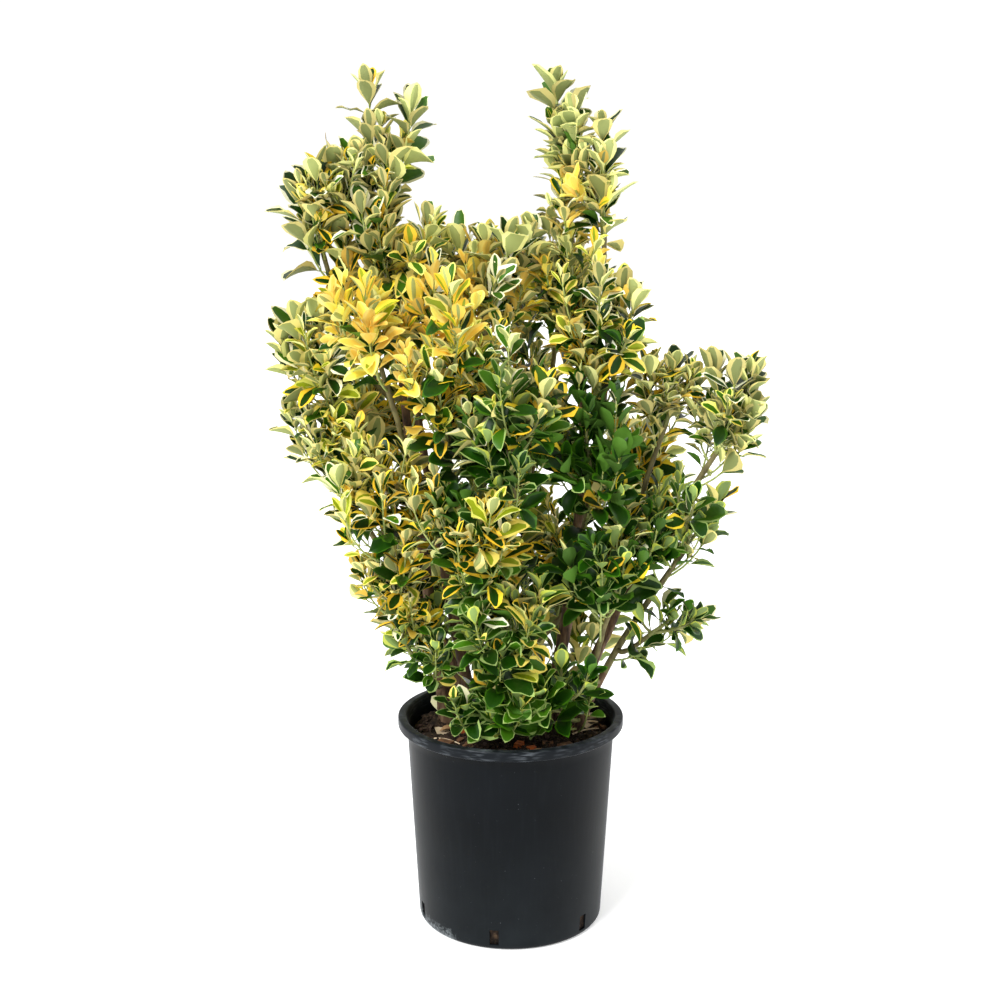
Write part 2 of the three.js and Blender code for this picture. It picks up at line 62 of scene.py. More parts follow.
# Camera, fitted to the pot's rim and base in the photograph
PHOTO_WIDTH = 1000
FOCAL_PIXELS = 1502
SENSOR_WIDTH = 36
CAMERA_PLACE = (-13.8, -1912, 951)
CAMERA_PITCH = 11.29

# Pot
POT_HEIGHT = 280
RIM_RADIUS = 150
RIM_BAND = 13
LIP_INNER_RADIUS = 139
WALL_TOP_RADIUS = 138
BASE_RADIUS = 123
BASE_CORNER = 6
WALL = 2.4
FLOOR = 3
RIM_ROUND = 2.2
ARC_STEPS = 4
FLOOR_RING = 60
BAND_STEP = 1.5
POT_SHARP = math.radians(40)
SLOT_COUNT = 6
SLOT_FIRST_ANGLE = -100
SLOT_WIDTH = 12
SLOT_LEVELS = (7, 14, 21, 28)
WALL_LEVELS = (60, 110, 160, 210, 250)
COLUMNS_BETWEEN_SLOTS = 26
COLUMNS_ACROSS_SLOT = 4
POT_OUT_OF_ROUND = 0.3

# Soil
SOIL_TOP = 256
SOIL_EDGE_DROP = 5
SOIL_EDGE_WIDTH = 16
SOIL_LEVELS = (30, 120, 200)
SOIL_SIDES = 180
SOIL_RINGS = 70
SOIL_RELIEF = 2.6
SOIL_WAVES = (90, 47, 26, 15, 9, 6)
WAVES_OF_EACH = 3
WAVE_POWER = 0.4
USUAL_WAVES = 12
CALM_EDGE = 4
CALM_SHARE = 0.15
EDGE_RING = 6
SOIL_GAP = 0.6
CHIP_COUNT = 900
CHIPS_REACH = 128
LEVEL_REACH = 118
CHIP_SIDES = ((0.8, 1.8), (0.5, 1), (0.2, 0.6))
CHIP_TILT = 0.35
CHIP_LIFT = 0.6
SMALLEST_CHIP = 1.2
CHIP_GROWTH = 4.6
BLOCK_UNEVENNESS = (0.7, 1.2)
SOIL_SEED = 71
CHIP_SEED = 72
LITTER_SEED = 73

# Limbs
ROOT_FLARE = 1.35
FLARE_LENGTH = 1 / 6
BOUGH_SPRING = 0.22
FOOT_IN_SOIL = 6
BARK_SIDES = 22
BARK_STEP = 3.2
BARK_FURROWS = 7
BARK_RELIEF = 0.055
FURROWS_ROUND = (2, 9)
FURROW_DRIFT = 0.06
FURROW_SWELL = 0.11
SCAR_SPACING = 24
SCAR_RELIEF = 0.13
SCAR_WIDTH = 1.8
SCAR_UNEVENNESS = (0.7, 1.3)
LIMB_WANDER = 1.6
LIMB_WAVES = (3, 7, 13)
LEAST_STEPS = 6
LIMB_PLACES = 40
YOUNG_RADIUS = 4.6
START_SIDE = (0.31, 0.92, 0.24)
LIMB_CLEARANCE = 1

# Stems: foot on the soil, bend that the stem leans towards, tip inside its mass, radii at both ends
STEMS = {
    "stem_left": ((-85, 35), (-130, 40, 560), (-160, 20, 940), (9, 3.4)),
    "stem_left_inner": ((-45, 8), (-98, -20, 520), (-142, -12, 850), (8, 3.4)),
    "stem_front": ((-28, -20), (2, -70, 480), (2, -138, 655), (6.5, 3.2)),
    "stem_crest": ((2, 22), (-18, 30, 560), (-34, -18, 810), (7, 3.2)),
    "stem_right_tower": ((50, 40), (128, 45, 600), (70, 20, 950), (9.5, 3.4)),
    "stem_right": ((78, 28), (120, 10, 400), (262, -15, 632), (8.5, 3.4)),
    "stem_right_low": ((88, -12), (125, -25, 370), (222, -28, 505), (5.5, 3)),
    "stem_back": ((10, 78), (0, 110, 470), (0, 170, 620), (7.5, 3.4)),
    "stem_back_left": ((-48, 70), (-130, 100, 430), (-200, 128, 610), (7.5, 3.4)),
}

# Boughs: the stem that each springs from, its height there, tip inside its mass, radii at both ends
BOUGHS = {
    "bough_shoulder": ("stem_left", 700, (-236, 0, 885), (4.2, 3)),
    "bough_left_outer": ("stem_left", 560, (-232, -15, 715), (4.8, 3)),
    "bough_left_arm": ("stem_left", 460, (-228, -15, 618), (4.4, 3)),
    "bough_left_low": ("stem_left", 385, (-165, -70, 560), (4.2, 3)),
    "bough_gold_left": ("stem_left_inner", 600, (-160, -95, 760), (4.4, 3)),
    "bough_gold_front": ("stem_left_inner", 520, (-80, -110, 730), (4.4, 3)),
    "bough_centre_mid": ("stem_front", 390, (-50, -130, 505), (4, 3)),
    "bough_right_outer": ("stem_right_tower", 780, (116, -12, 925), (4, 3)),
    "bough_right_upper": ("stem_right_tower", 600, (122, -25, 735), (4.4, 3)),
    "bough_right_shoulder": ("stem_right", 490, (200, 10, 665), (4.4, 3)),
    "bough_centre_right": ("stem_right_tower", 430, (98, -85, 600), (4.4, 3)),
    "bough_right_mid": ("stem_right_low", 330, (130, -90, 465), (3.8, 3)),
    "bough_low_right": ("stem_right_low", 375, (178, -45, 400), (3.6, 2.8)),
    "bough_back_right": ("stem_back", 345, (176, 120, 550), (5, 3)),
    "bough_back_left_top": ("stem_left_inner", 690, (-125, 110, 800), (4.2, 3)),
    "bough_back_right_top": ("stem_back", 540, (65, 130, 790), (4.6, 3)),
}

# Growth of a mass, by the rule of its solid: twigs spring from one stem and end on a spiral
# over the mass's space. Finer shoots then spring from both, and their ends fill the crown evenly.
TWIG_COUNT = 3
LOWEST_TWIG = -0.7
HIGHEST_TWIG = 0.45
TWIG_DROP = 30
TWIG_SLACK = 0.25
LOWEST_SPRING = 0.12
HIGHEST_SPRING = 0.8
SHOOT_SPRINGS = (0.12, 0.95, 24)
STEM_SPRING = 0.4
TWIG_REACH = 0.62
TOP_REACH = 0.25
PULL_BACK = (1, 0.7, 0.45)
MASS_STEM_RADII = (3, 1.8)
TWIG_RADII = (2.2, 1.3)
SHOOT_GRID = (39, 39, 63)
GRID_JITTER = 0.42
LATTICE_SEED = 90
SHOOT_DROP = 80
SHOOT_RADII = (1.6, 0.9)
TIP_DROP = 95
CLIMB_COST = 2
FIELD_REACH = 1.6
FIELD_POWER = 3
SHOOT_EDGE = 0.8
LEAF_EDGE = 1.22
ROOM_MARGIN = 12
INSIDE_LIP = 4
BESIDE_RIM = 3
OVER_RIM = 2
OVER_SOIL = 3
EDGE_UNEVENNESS = 0.2
DEEP_INSIDE = 1.9
DEEP_KEPT = 0.5
SPUR_PLACE = 0.5
SPUR_SPREAD = 17
SPUR_RISE = 17
SPUR_RADII = (0.9, 0.7)
HELD_FROM = 0.3
SIDEWAYS = (0.2, 0.9, 0.1)
USUAL_REACH = 66
LEAF_SHARES = (0.88, 1.08)

# Leaves, in crossing pairs that open out from a shoot's end
LEAF_LENGTH = 38
LEAF_SPREAD = 0.13
SHOOT_SPREAD = 0.13
LEAF_WIDTH = 0.51
WIDTH_SPREAD = 0.06
LEAF_THICKNESS = 0.5
LEAF_WIDEST = 0.59
LEAF_FULLNESS = 0.78
LEAF_STATIONS = (0.12, 0.32, 0.54, 0.76, 0.92)
LEAF_WAVE = 0.2
LEAF_WAVES = 1.5
LOWEST_LEAF = 0.12
ROOT_DEPTH = 0.6
PETIOLE_LENGTH = 4
PETIOLE_RADIUS = 0.7
PETIOLE_SIDES = 3
PETIOLE_FOOT = 1.2
PETIOLE_OVERLAP = 1.5
LIGHT_PULL = 0.12
LIGHT_FROM_MIDDLE = (0.012, 0.012, 0)
LIGHT_FROM_ABOVE = (0, 0, 0.8)
TURN_SPREAD = 0.16
ROLL_SPREAD = 0.16
HEADING_SPREAD = 0.07
SPLAY_SHARES = (0.75, 1.25)
ARCH_PER_SPLAY = 0.5
ARCH_SPREAD = 13
LEAST_ARCH = 1e-3
FOLD = 22
FOLD_SPREAD = 8
LEAF_SIZES_TRIED = (1, 0.8, 0.62)
TOWER_LEAVES = 1.14

# How leaves stand on each kind of shoot. For each pair, from the shoot's end down: how far it is
# back from the end, its size, and how far it opens from the shoot in degrees. Then how broad all are.
SHOOT_PAIRS = (
    (2, 0.62, 18), (9, 0.72, 28), (19, 0.82, 38), (30, 0.92, 46), (42, 1, 52), (57, 1, 56), (73, 1, 60),
)
TIP_PAIRS = (
    (1, 0.88, 16), (6, 1, 30), (12, 1.08, 42), (19, 1.08, 52),
    (40, 0.88, 24), (47, 0.96, 38), (54, 1, 48), (84, 1, 46),
)
SPRAY_PAIRS = ((1, 0.92, 34), (9, 1, 52), (24, 1, 60), (40, 0.92, 62), (58, 0.92, 62))
HABITS = {
    "shoot": (SHOOT_PAIRS, 1),
    "tip": (TIP_PAIRS, 1.2),
    "spray": (SPRAY_PAIRS, 1.05),
    "spur": (SHOOT_PAIRS[:3], 1),
}


class Mass:
    """A mass of foliage: the limb that carries it at its tip, or at a height on its side, the centre and
    half sizes of its space, its look, and its highest or furthest tips, as places from its centre.

    Finer shoots end no higher above the centre than ends_below. drops are how far below their ends the
    finer shoots and those of the tips leave the wood."""

    def __init__(
        self, on, centre, reach, look="variegated", tips=(), at=None, ends_below=200,
        drops=(SHOOT_DROP, TIP_DROP), tip_habit="tip", tip_leaves=1,
    ):
        self.on, self.at = on, at
        self.centre, self.reach = np.array(centre, float), np.array(reach, float)
        self.look, self.tips = look, tips
        self.ends_below, self.drops = ends_below, drops
        self.tip_habit, self.tip_leaves = tip_habit, tip_leaves

    def end(self, direction, share):
        return self.centre + direction * self.reach * share


MASSES = {
    "left_tower": Mass(
        "stem_left", (-162, 15, 1015), (48, 48, 94), "bright",
        ((-14, 0, 66), (37, -6, 38), (-22, -10, -24), (8, -14, -16), (-30, 10, -50)),
        ends_below=-44, tip_leaves=TOWER_LEAVES,
    ),
    "left_shoulder": Mass(
        "bough_shoulder", (-230, -5, 970), (42, 50, 50),
        tips=((8, 0, 20), (-32, -10, -20), (26, 8, 14), (-8, -26, 8)),
    ),
    "left_upper": Mass(
        "stem_left_inner", (-154, -25, 895), (78, 76, 74), tips=((50, 0, 24), (-28, -20, 36)),
    ),
    "left_outer": Mass(
        "bough_left_outer", (-230, -20, 766), (64, 70, 66), "bright",
        ((-60, 0, 12), (-34, -20, 24), (-8, 10, 34), (20, 0, 38)),
    ),
    "left_arm": Mass(
        "bough_left_arm", (-236, -20, 672), (58, 62, 46), "bright", ((-40, 0, 4), (-20, -20, 10)),
    ),
    "left_low": Mass("bough_left_low", (-160, -80, 610), (68, 74, 70), tips=((-52, -10, -10),)),
    "left_skirt": Mass("stem_left", (-150, -60, 500), (60, 70, 64), at=370),
    "left_foot": Mass("stem_left", (-114, -45, 402), (56, 64, 54), "green", at=310),
    "gold_left": Mass("bough_gold_left", (-165, -110, 815), (72, 68, 76), "gold"),
    "gold_front": Mass("bough_gold_front", (-78, -120, 785), (66, 72, 90), "mixed_gold"),
    "gold_crest": Mass(
        "stem_crest", (-35, -20, 860), (68, 74, 78), "gold", ((4, 0, 42), (-29, 20, 36), (30, -15, 36)),
    ),
    "centre_front": Mass("stem_front", (3, -135, 705), (70, 78, 86), "deep", ((-7, -20, 80),)),
    "centre_middle": Mass("bough_centre_mid", (-50, -130, 575), (80, 82, 84), "mixed"),
    "centre_low": Mass("stem_front", (-5, -115, 448), (74, 74, 74), "green", at=370),
    "foot_front": Mass("stem_front", (-22, -92, 335), (64, 54, 52), "foot", at=282),
    "foot_right": Mass("stem_right_low", (64, -85, 352), (58, 54, 62), "shaded_foot", at=275),
    "right_tower": Mass(
        "stem_right_tower", (74, 20, 1030), (32, 42, 88), "bright",
        ((-18, 0, 54), (4, -15, 22), (-14, -8, 6), (6, 10, -20), (-12, 12, -34)),
        ends_below=0, tip_leaves=TOWER_LEAVES,
    ),
    "right_tower_outer": Mass(
        "bough_right_outer", (92, -15, 985), (36, 48, 78), "sunny",
        ((-12, 10, 50), (20, -5, 50), (22, -10, 12)),
    ),
    "right_neck": Mass(
        "stem_right_tower", (76, -10, 886), (72, 70, 62), "sunny", ((-54, 0, 16), (-28, 15, 26)), at=800,
    ),
    "right_upper": Mass(
        "bough_right_upper", (116, -40, 790), (72, 76, 76), "mixed", ((33, -10, 31), (-8, -30, 58)),
    ),
    "right_shoulder": Mass(
        "bough_right_shoulder", (202, 10, 722), (56, 62, 58),
        tips=((-24, -10, 14), (8, 0, 16), (30, 0, 8)),
    ),
    "centre_right": Mass("bough_centre_right", (92, -95, 655), (74, 80, 76), "deep"),
    "right_middle": Mass("bough_right_mid", (125, -92, 528), (76, 76, 66), "deep"),
    "far_right": Mass(
        "stem_right", (264, -20, 692), (50, 62, 70),
        tips=((-6, 0, 38), (16, -20, 36), (36, -8, 42), (48, 0, 40), (42, -10, -10)),
    ),
    "right_low": Mass("stem_right_low", (214, -25, 568), (60, 68, 64), "green", ((50, 0, 0),)),
    "low_right": Mass(
        "bough_low_right", (208, -40, 422), (62, 52, 42), "foot",
        ((24, 0, -6), (2, 10, -24), (-39, -10, -36), (12, -12, 4), (-14, 0, 8)),
        ends_below=-100, drops=(24, 24), tip_habit="spray",
    ),
    "back_left_top": Mass("bough_back_left_top", (-115, 110, 860), (92, 78, 80)),
    "back_right_top": Mass("bough_back_right_top", (62, 125, 850), (92, 80, 82)),
    "back_left": Mass("stem_back_left", (-195, 115, 680), (80, 84, 80)),
    "back_middle": Mass(
        "stem_back", (-8, 120, 674), (104, 96, 102), tips=((-44, -20, -66), (24, -20, -72)),
    ),
    "back_right": Mass("bough_back_right", (178, 120, 610), (84, 84, 72)),
    "back_left_low": Mass(
        "stem_back_left", (-112, 120, 478), (92, 86, 86), "green",
        ((-44, 6, -96), (6, 14, -106), (52, 0, -118), (-12, -6, -126), (30, 18, -84), (-60, -6, -78)),
        at=350,
    ),
    "back_right_low": Mass(
        "stem_back", (90, 115, 492), (94, 88, 68), "green",
        (
            (-68, -20, 8), (-60, 10, 34), (-52, 6, -104), (-12, 14, -116), (30, 4, -100), (-34, 18, -84),
            (8, -8, -132), (52, 0, -84),
        ),
        at=405,
    ),
}


def linear(red, green, blue):
    """A screen colour from 0 to 255 as the shader's colour."""
    shares = [value / 255 for value in (red, green, blue)]
    return [s / 12.92 if s <= 0.04045 else ((s + 0.055) / 1.055) ** 2.4 for s in shares] + [1]


def unit(vectors):
    return vectors / np.maximum(np.linalg.norm(vectors, axis=-1, keepdims=True), 1e-9)


# Materials

BLACK = (0, 0, 0)
WHITE = (255, 255, 255)


def fill(node, inputs):
    """Gives each named input of a node its value, or a link from another node's output."""
    for name, given in inputs.items():
        if isinstance(given, bpy.types.NodeSocket):
            node.id_data.links.new(given, node.inputs[name])
        else:
            node.inputs[name].default_value = given


def add_node(tree, kind, inputs, output):
    """An output of a new node."""
    node = tree.nodes.new(kind)
    fill(node, inputs)
    return node.outputs[output]


def new_material(name, roughness, specular):
    """A material with its tree of nodes and its shader."""
    material = bpy.data.materials.new(name)
    material.use_nodes = True
    tree = material.node_tree
    shader = tree.nodes["Principled BSDF"]
    fill(shader, {"Roughness": roughness, "Specular IOR Level": specular})
    return material, tree, shader


def object_place(tree):
    return add_node(tree, "ShaderNodeTexCoord", {}, "Object")


def add_noise(tree, scale, detail=4, stretch=(1, 1, 1)):
    inputs = {"Scale": stretch, "Vector": object_place(tree)}
    place = add_node(tree, "ShaderNodeMapping", inputs, "Vector")
    return add_node(tree, "ShaderNodeTexNoise", {"Scale": scale, "Detail": detail, "Vector": place}, "Fac")


def add_ramp(tree, source, *stops):
    """Turns a value into screen colours at stops of (place, colour)."""
    ramp = tree.nodes.new("ShaderNodeValToRGB")
    fill(ramp, {"Fac": source})
    elements = ramp.color_ramp.elements
    while len(elements) < len(stops):
        elements.new(0.5)
    for element, (place, colour) in zip(elements, stops):
        element.position = place
        element.color = linear(*colour)
    return ramp.outputs["Color"]


def add_mask(tree, source, low, high):
    """0 up to one value of the source, and 1 from another on."""
    return add_ramp(tree, source, (low, BLACK), (high, WHITE))


def add_bump(tree, shader, source, strength, distance):
    inputs = {"Strength": strength, "Distance": distance * MM, "Height": source}
    fill(shader, {"Normal": add_node(tree, "ShaderNodeBump", inputs, "Normal")})


def add_roughness(tree, shader, source, low, high):
    inputs = {"To Min": low, "To Max": high, "Value": source}
    fill(shader, {"Roughness": add_node(tree, "ShaderNodeMapRange", inputs, "Result")})


def add_rise(tree, axis, start, end):
    """A value that goes from 0 to 1 between two places along an axis."""
    place = add_node(tree, "ShaderNodeSeparateXYZ", {"Vector": object_place(tree)}, axis)
    inputs = {"From Min": start * MM, "From Max": end * MM, "Value": place}
    return add_node(tree, "ShaderNodeMapRange", inputs, "Result")


def add_product(tree, product, *sources):
    for source in sources:
        times = tree.nodes.new("ShaderNodeMath")
        times.operation = "MULTIPLY"
        fill(times, {0: product, 1: source})
        product = times.outputs["Value"]
    return product


def add_over(tree, below, share, colour):
    """A screen colour laid over another colour by a share."""
    mix = tree.nodes.new("ShaderNodeMix")
    mix.data_type = "RGBA"
    fill(mix, {"Factor": share, "A": below, "B": linear(*colour)})
    return mix.outputs["Result"]


# Each leaf colour: screen colour and how rough the surface is
LEAF_COLOURS = {
    "deep": ((20, 56, 2), 0.36),
    "mid": ((54, 96, 10), 0.38),
    "fresh": ((146, 160, 28), 0.42),
    "lime": ((186, 196, 80), 0.45),
    "pale_green": ((146, 170, 96), 0.45),
    "cream": ((255, 250, 204), 0.5),
    "yellow": ((255, 232, 112), 0.45),
    "amber": ((248, 200, 52), 0.45),
    "gold": ((255, 210, 84), 0.45),
    "light_gold": ((255, 226, 116), 0.5),
    # Painted shade: a darker underside, used only by the shaded palette for leaves in the crown's shade
    "under_painted_shade": ((72, 110, 34), 0.6),
    "under_mid": ((130, 154, 84), 0.6),
    "under_green": ((160, 170, 104), 0.6),
    "under_cream": ((250, 236, 150), 0.6),
    "under_gold": ((255, 214, 96), 0.55),
    "dry": ((176, 138, 96), 0.8),
    "dry_pale": ((214, 192, 160), 0.8),
}
LEAF_GLOSS = 0.22
LEAF_DULLING = (-0.08, 0.12)
LEAF_TONES = (0.7, 1, 1.25)
TONE_POWER = 0.45


def leaf_material(colour_name, tone_number):
    colour, roughness = LEAF_COLOURS[colour_name]
    tone = LEAF_TONES[tone_number] ** TONE_POWER
    material, tree, shader = new_material(f"leaf_{colour_name}_{tone_number}", roughness, LEAF_GLOSS)
    fill(shader, {"Base Color": linear(*[min(255, value * tone) for value in colour])})
    grain = add_noise(tree, scale=700)
    add_roughness(tree, shader, grain, *[roughness + change for change in LEAF_DULLING])
    add_bump(tree, shader, grain, strength=0.12, distance=0.2)
    return material


# Each wood: the colours of its streaks at their places, how fine they are, its relief and roughness
WOODS = {
    "bark": (((0.3, (58, 44, 34)), (0.5, (98, 74, 54)), (0.72, (132, 108, 84))), 160, 0.8, 0.8),
    "bark_young": (((0.3, (84, 78, 50)), (0.6, (122, 114, 74))), 160, 0.4, 0.7),
    "twig": (((0.3, (112, 116, 66)), (0.7, (150, 152, 96))), 200, 0.2, 0.6),
    "shoot": (((0.3, (138, 156, 84)), (0.7, (178, 186, 116))), 200, 0.2, 0.55),
    "wood_chip": (((0.3, (62, 42, 28)), (0.6, (112, 78, 52)), (0.8, (160, 124, 86))), 90, 0.8, 0.8),
    "orange_chip": (((0.3, (120, 52, 20)), (0.7, (196, 104, 44))), 120, 0.8, 0.8),
    "dark_chip": (((0.3, (34, 24, 18)), (0.7, (70, 50, 38))), 120, 0.8, 0.8),
    "dry_root": (((0.3, (176, 150, 118)), (0.7, (222, 202, 172))), 200, 0.4, 0.8),
    "green_stick": (((0.3, (88, 104, 78)), (0.7, (130, 142, 112))), 200, 0.4, 0.8),
}


def wood_material(name):
    stops, fineness, relief, roughness = WOODS[name]
    material, tree, shader = new_material(name, roughness, specular=0.3)
    streaks = add_noise(tree, fineness, detail=6, stretch=(1, 1, 0.25))
    fill(shader, {"Base Color": add_ramp(tree, streaks, *stops)})
    ridges = add_noise(tree, fineness * 3, detail=5, stretch=(1, 1, 0.3))
    add_bump(tree, shader, ridges, strength=0.6, distance=relief)
    return material


def pot_material():
    """Charcoal plastic with a dusty sheen: upright brush marks, specks, lighter and mottled towards the
    foot, a worn rim with pale scratches, and scuffs at the left of the foot."""
    material, tree, shader = new_material("pot_plastic", roughness=0.42, specular=0.09)
    fill(shader, {"Sheen Weight": 0.5, "Sheen Roughness": 0.14, "Sheen Tint": linear(214, 226, 238)})
    cloud = add_noise(tree, scale=9, detail=5)
    brushed = add_mask(tree, add_noise(tree, scale=260, detail=6, stretch=(1, 1, 0.05)), 0.5, 0.95)
    # Lighter and mottled towards the foot
    lighter_low = add_product(tree, add_rise(tree, "Z", 170, 10), add_noise(tree, scale=26, detail=6))
    specks = add_mask(tree, add_noise(tree, scale=420, detail=2), 0.76, 0.8)
    rim = add_rise(tree, "Z", POT_HEIGHT - RIM_BAND - 3, POT_HEIGHT - RIM_BAND)
    worn = add_ramp(tree, add_noise(tree, scale=34, detail=7), (0.4, BLACK), (0.75, (120, 124, 128)))
    marks = add_mask(tree, add_noise(tree, scale=90, detail=8, stretch=(0.6, 0.6, 5)), 0.46, 0.7)
    scratches = add_product(tree, rim, marks, worn)
    low, left = add_rise(tree, "Z", 34, 0), add_rise(tree, "X", -52, -80)
    scuffs = add_mask(tree, add_product(tree, low, left, add_noise(tree, scale=300, detail=9)), 0.26, 0.56)
    coats = (
        (brushed, (14, 18, 22)),
        (lighter_low, (26, 31, 34)),
        (specks, (96, 100, 104)),
        (rim, (16, 20, 24)),
        (scratches, (190, 200, 210)),
        (scuffs, (112, 118, 121)),
    )
    colour = add_ramp(tree, cloud, (0.3, (4, 7, 10)), (0.7, (8, 12, 16)))
    for share, coat in coats:
        colour = add_over(tree, colour, share, coat)
    fill(shader, {"Base Color": colour})
    add_roughness(tree, shader, cloud, 0.36, 0.5)
    grain = add_noise(tree, scale=160, detail=6, stretch=(1, 1, 0.15))
    add_bump(tree, shader, grain, strength=0.12, distance=0.5)
    return material


def soil_material():
    material, tree, shader = new_material("potting_soil", roughness=0.95, specular=0.2)
    stops = ((0.35, (20, 14, 9)), (0.55, (44, 33, 24)), (0.72, (84, 66, 48)))
    fill(shader, {"Base Color": add_ramp(tree, add_noise(tree, scale=190, detail=8), *stops)})
    add_bump(tree, shader, add_noise(tree, scale=420, detail=8), strength=0.9, distance=1.5)
    return material


materials = {"pot_plastic": pot_material(), "potting_soil": soil_material()}
materials |= {name: wood_material(name) for name in WOODS}
for leaf_colour in LEAF_COLOURS:
    for tone in range(len(LEAF_TONES)):
        materials[f"leaf_{leaf_colour}_{tone}"] = leaf_material(leaf_colour, tone)
MATERIALS = list(materials.values())
PAINT = {name: number for number, name in enumerate(materials)}


# Meshes


def add_object(name, data):
    made = bpy.data.objects.new(name, data)
    bpy.context.collection.objects.link(made)
    return made


class Shape:
    """Small shapes gathered in arrays and made into one mesh."""

    def __init__(self):
        self.vertices = []
        self.faces = []
        self.looks = []
        self.outline = []
        self.count = 0

    def add(self, vertices, face_groups, outline=None):
        """face_groups are (faces, material numbers), with one number for all of them or one each.
        outline tells which vertices lie along edges that are drawn sharp."""
        for faces, looks in face_groups:
            self.faces.append(np.asarray(faces) + self.count)
            self.looks.append(np.broadcast_to(looks, len(faces)))
        self.vertices.append(vertices)
        self.outline.append(np.zeros(len(vertices), bool) if outline is None else outline)
        self.count += len(vertices)

    def make(self, name, slot, *nodes):
        mesh = bpy.data.meshes.new(name)
        faces = [face for group in self.faces for face in group.tolist()]
        mesh.from_pydata((np.concatenate(self.vertices) * MM).tolist(), [], faces)
        used, looks = np.unique(np.concatenate(self.looks), return_inverse=True)
        for number in used:
            mesh.materials.append(MATERIALS[number])
        mesh.polygons.foreach_set("material_index", looks.astype(np.int32))
        mesh.shade_smooth()
        ends = np.zeros(len(mesh.edges) * 2, np.int32)
        mesh.edges.foreach_get("vertices", ends)
        sharp = np.concatenate(self.outline)[ends.reshape(-1, 2)].all(1)
        mesh.attributes.new("sharp_edge", "BOOLEAN", "EDGE").data.foreach_set("value", sharp)
        mesh.update()
        piece = add_object(name, mesh)
        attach(piece, "root")
        if nodes:
            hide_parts(*nodes)
        return piece


def turns(count):
    """Angles all round."""
    return np.arange(count) * 2 * np.pi / count


def ways_round(one, other, sides):
    """Directions round each place of a path, from two directions across it."""
    turn = turns(sides)[:, None]
    return one[:, None] * np.cos(turn) + other[:, None] * np.sin(turn)


def grid_faces(rows, columns):
    """Faces of a grid of rows that each close on themselves, facing out where rows run up."""
    start = np.arange((rows - 1) * columns).reshape(rows - 1, columns)
    after = np.roll(start, -1, axis=1)
    return np.stack([start, after, after + columns, start + columns], -1).reshape(-1, 4)


def end_faces(rows, columns):
    """The faces that close the first and the last row of such a grid."""
    first = np.arange(columns)[None, ::-1]
    return first, first[:, ::-1] + (rows - 1) * columns


class Limb:
    """A tapering limb or shoot along a Bezier curve."""

    def __init__(self, points, radii, flare=1):
        self.points = np.array(points, float)
        self.radii = radii
        self.flare = flare
        self.length = np.linalg.norm(np.diff(self.at(np.linspace(0, 1, 24)), axis=0), axis=1).sum()

    def at(self, along):
        along = np.asarray(along, float)[..., None]
        degree = len(self.points) - 1
        return sum(
            math.comb(degree, order) * along**order * (1 - along) ** (degree - order) * point
            for order, point in enumerate(self.points)
        )

    def heading(self, along):
        step = 0.001
        return unit(self.at(np.minimum(along + step, 1)) - self.at(np.maximum(along - step, 0)))

    def radius(self, along):
        plain = self.radii[0] + (self.radii[1] - self.radii[0]) * along
        return plain * (1 + (self.flare - 1) * np.maximum(0, 1 - along / FLARE_LENGTH))


def frames_along(places):
    """Two directions across a path at each of its places, without twist."""
    headings = unit(np.gradient(places, axis=0))
    side = np.cross(headings[0], START_SIDE)
    sides = []
    for heading in headings:
        side = unit(side - heading * (side @ heading))
        sides.append(side)
    sides = np.array(sides)
    return sides, np.cross(headings, sides)


def add_tube(shape, places, radii, sides, looks):
    """A closed tube with flat ends. radii is one value or a row of them for each place, and looks is
    one material number for each stretch."""
    rows = len(places)
    out = ways_round(*frames_along(places), sides) * radii.reshape(rows, -1, 1)
    around = np.repeat(np.broadcast_to(looks, rows - 1), sides)
    foot, tip = end_faces(rows, sides)
    groups = [(grid_faces(rows, sides), around), (foot, around[0]), (tip, around[-1])]
    shape.add((places[:, None] + out).reshape(-1, 3), groups)


# Limbs


def side_of(limb, height, target):
    """Where a limb reaches a height, and the way out of its side there towards a target."""
    low, high = 0.0, 1.0
    while high - low > 1e-4:
        middle = (low + high) / 2
        if limb.at(middle)[2] < height:
            low = middle
        else:
            high = middle
    centre, heading = limb.at(low), limb.heading(low)
    way = target - centre
    outward = unit(way - heading * (way @ heading))
    return centre + outward * limb.radius(low), outward


def stem_limb(foot, bend, tip, radii):
    return Limb([(*foot, SOIL_TOP), bend, tip], radii, ROOT_FLARE)


def bough_limb(stem, height, tip, radii):
    foot, outward = side_of(limbs[stem], height, tip)
    bend = foot + outward * BOUGH_SPRING * np.linalg.norm(tip - foot)
    return Limb([foot, bend, tip], radii)


def bark_relief(along, turn, draw):
    """How far bark stands out, as a share of the radius: furrows that wind along, and leaf scars."""
    relief = np.zeros((len(along), len(turn)))
    for _ in range(BARK_FURROWS):
        count = draw.integers(*FURROWS_ROUND)
        drift = draw.uniform(-FURROW_DRIFT, FURROW_DRIFT)
        phase = draw.uniform(0, 2 * np.pi)
        wave = np.sin(count * turn + drift * along[:, None] + phase)
        swell = 1 + 0.5 * np.sin(FURROW_SWELL * along + phase)
        relief += BARK_RELIEF / math.sqrt(BARK_FURROWS) * wave * swell[:, None]
    scar = draw.uniform(0, SCAR_SPACING)
    while scar < along[-1]:
        facing = draw.uniform(0, 2 * np.pi)
        lift = SCAR_RELIEF * np.exp(-(((along - scar) / SCAR_WIDTH) ** 2))
        relief += lift[:, None] * (0.5 + 0.5 * np.cos(2 * (turn - facing)))
        scar += SCAR_SPACING * draw.uniform(*SCAR_UNEVENNESS)
    return relief


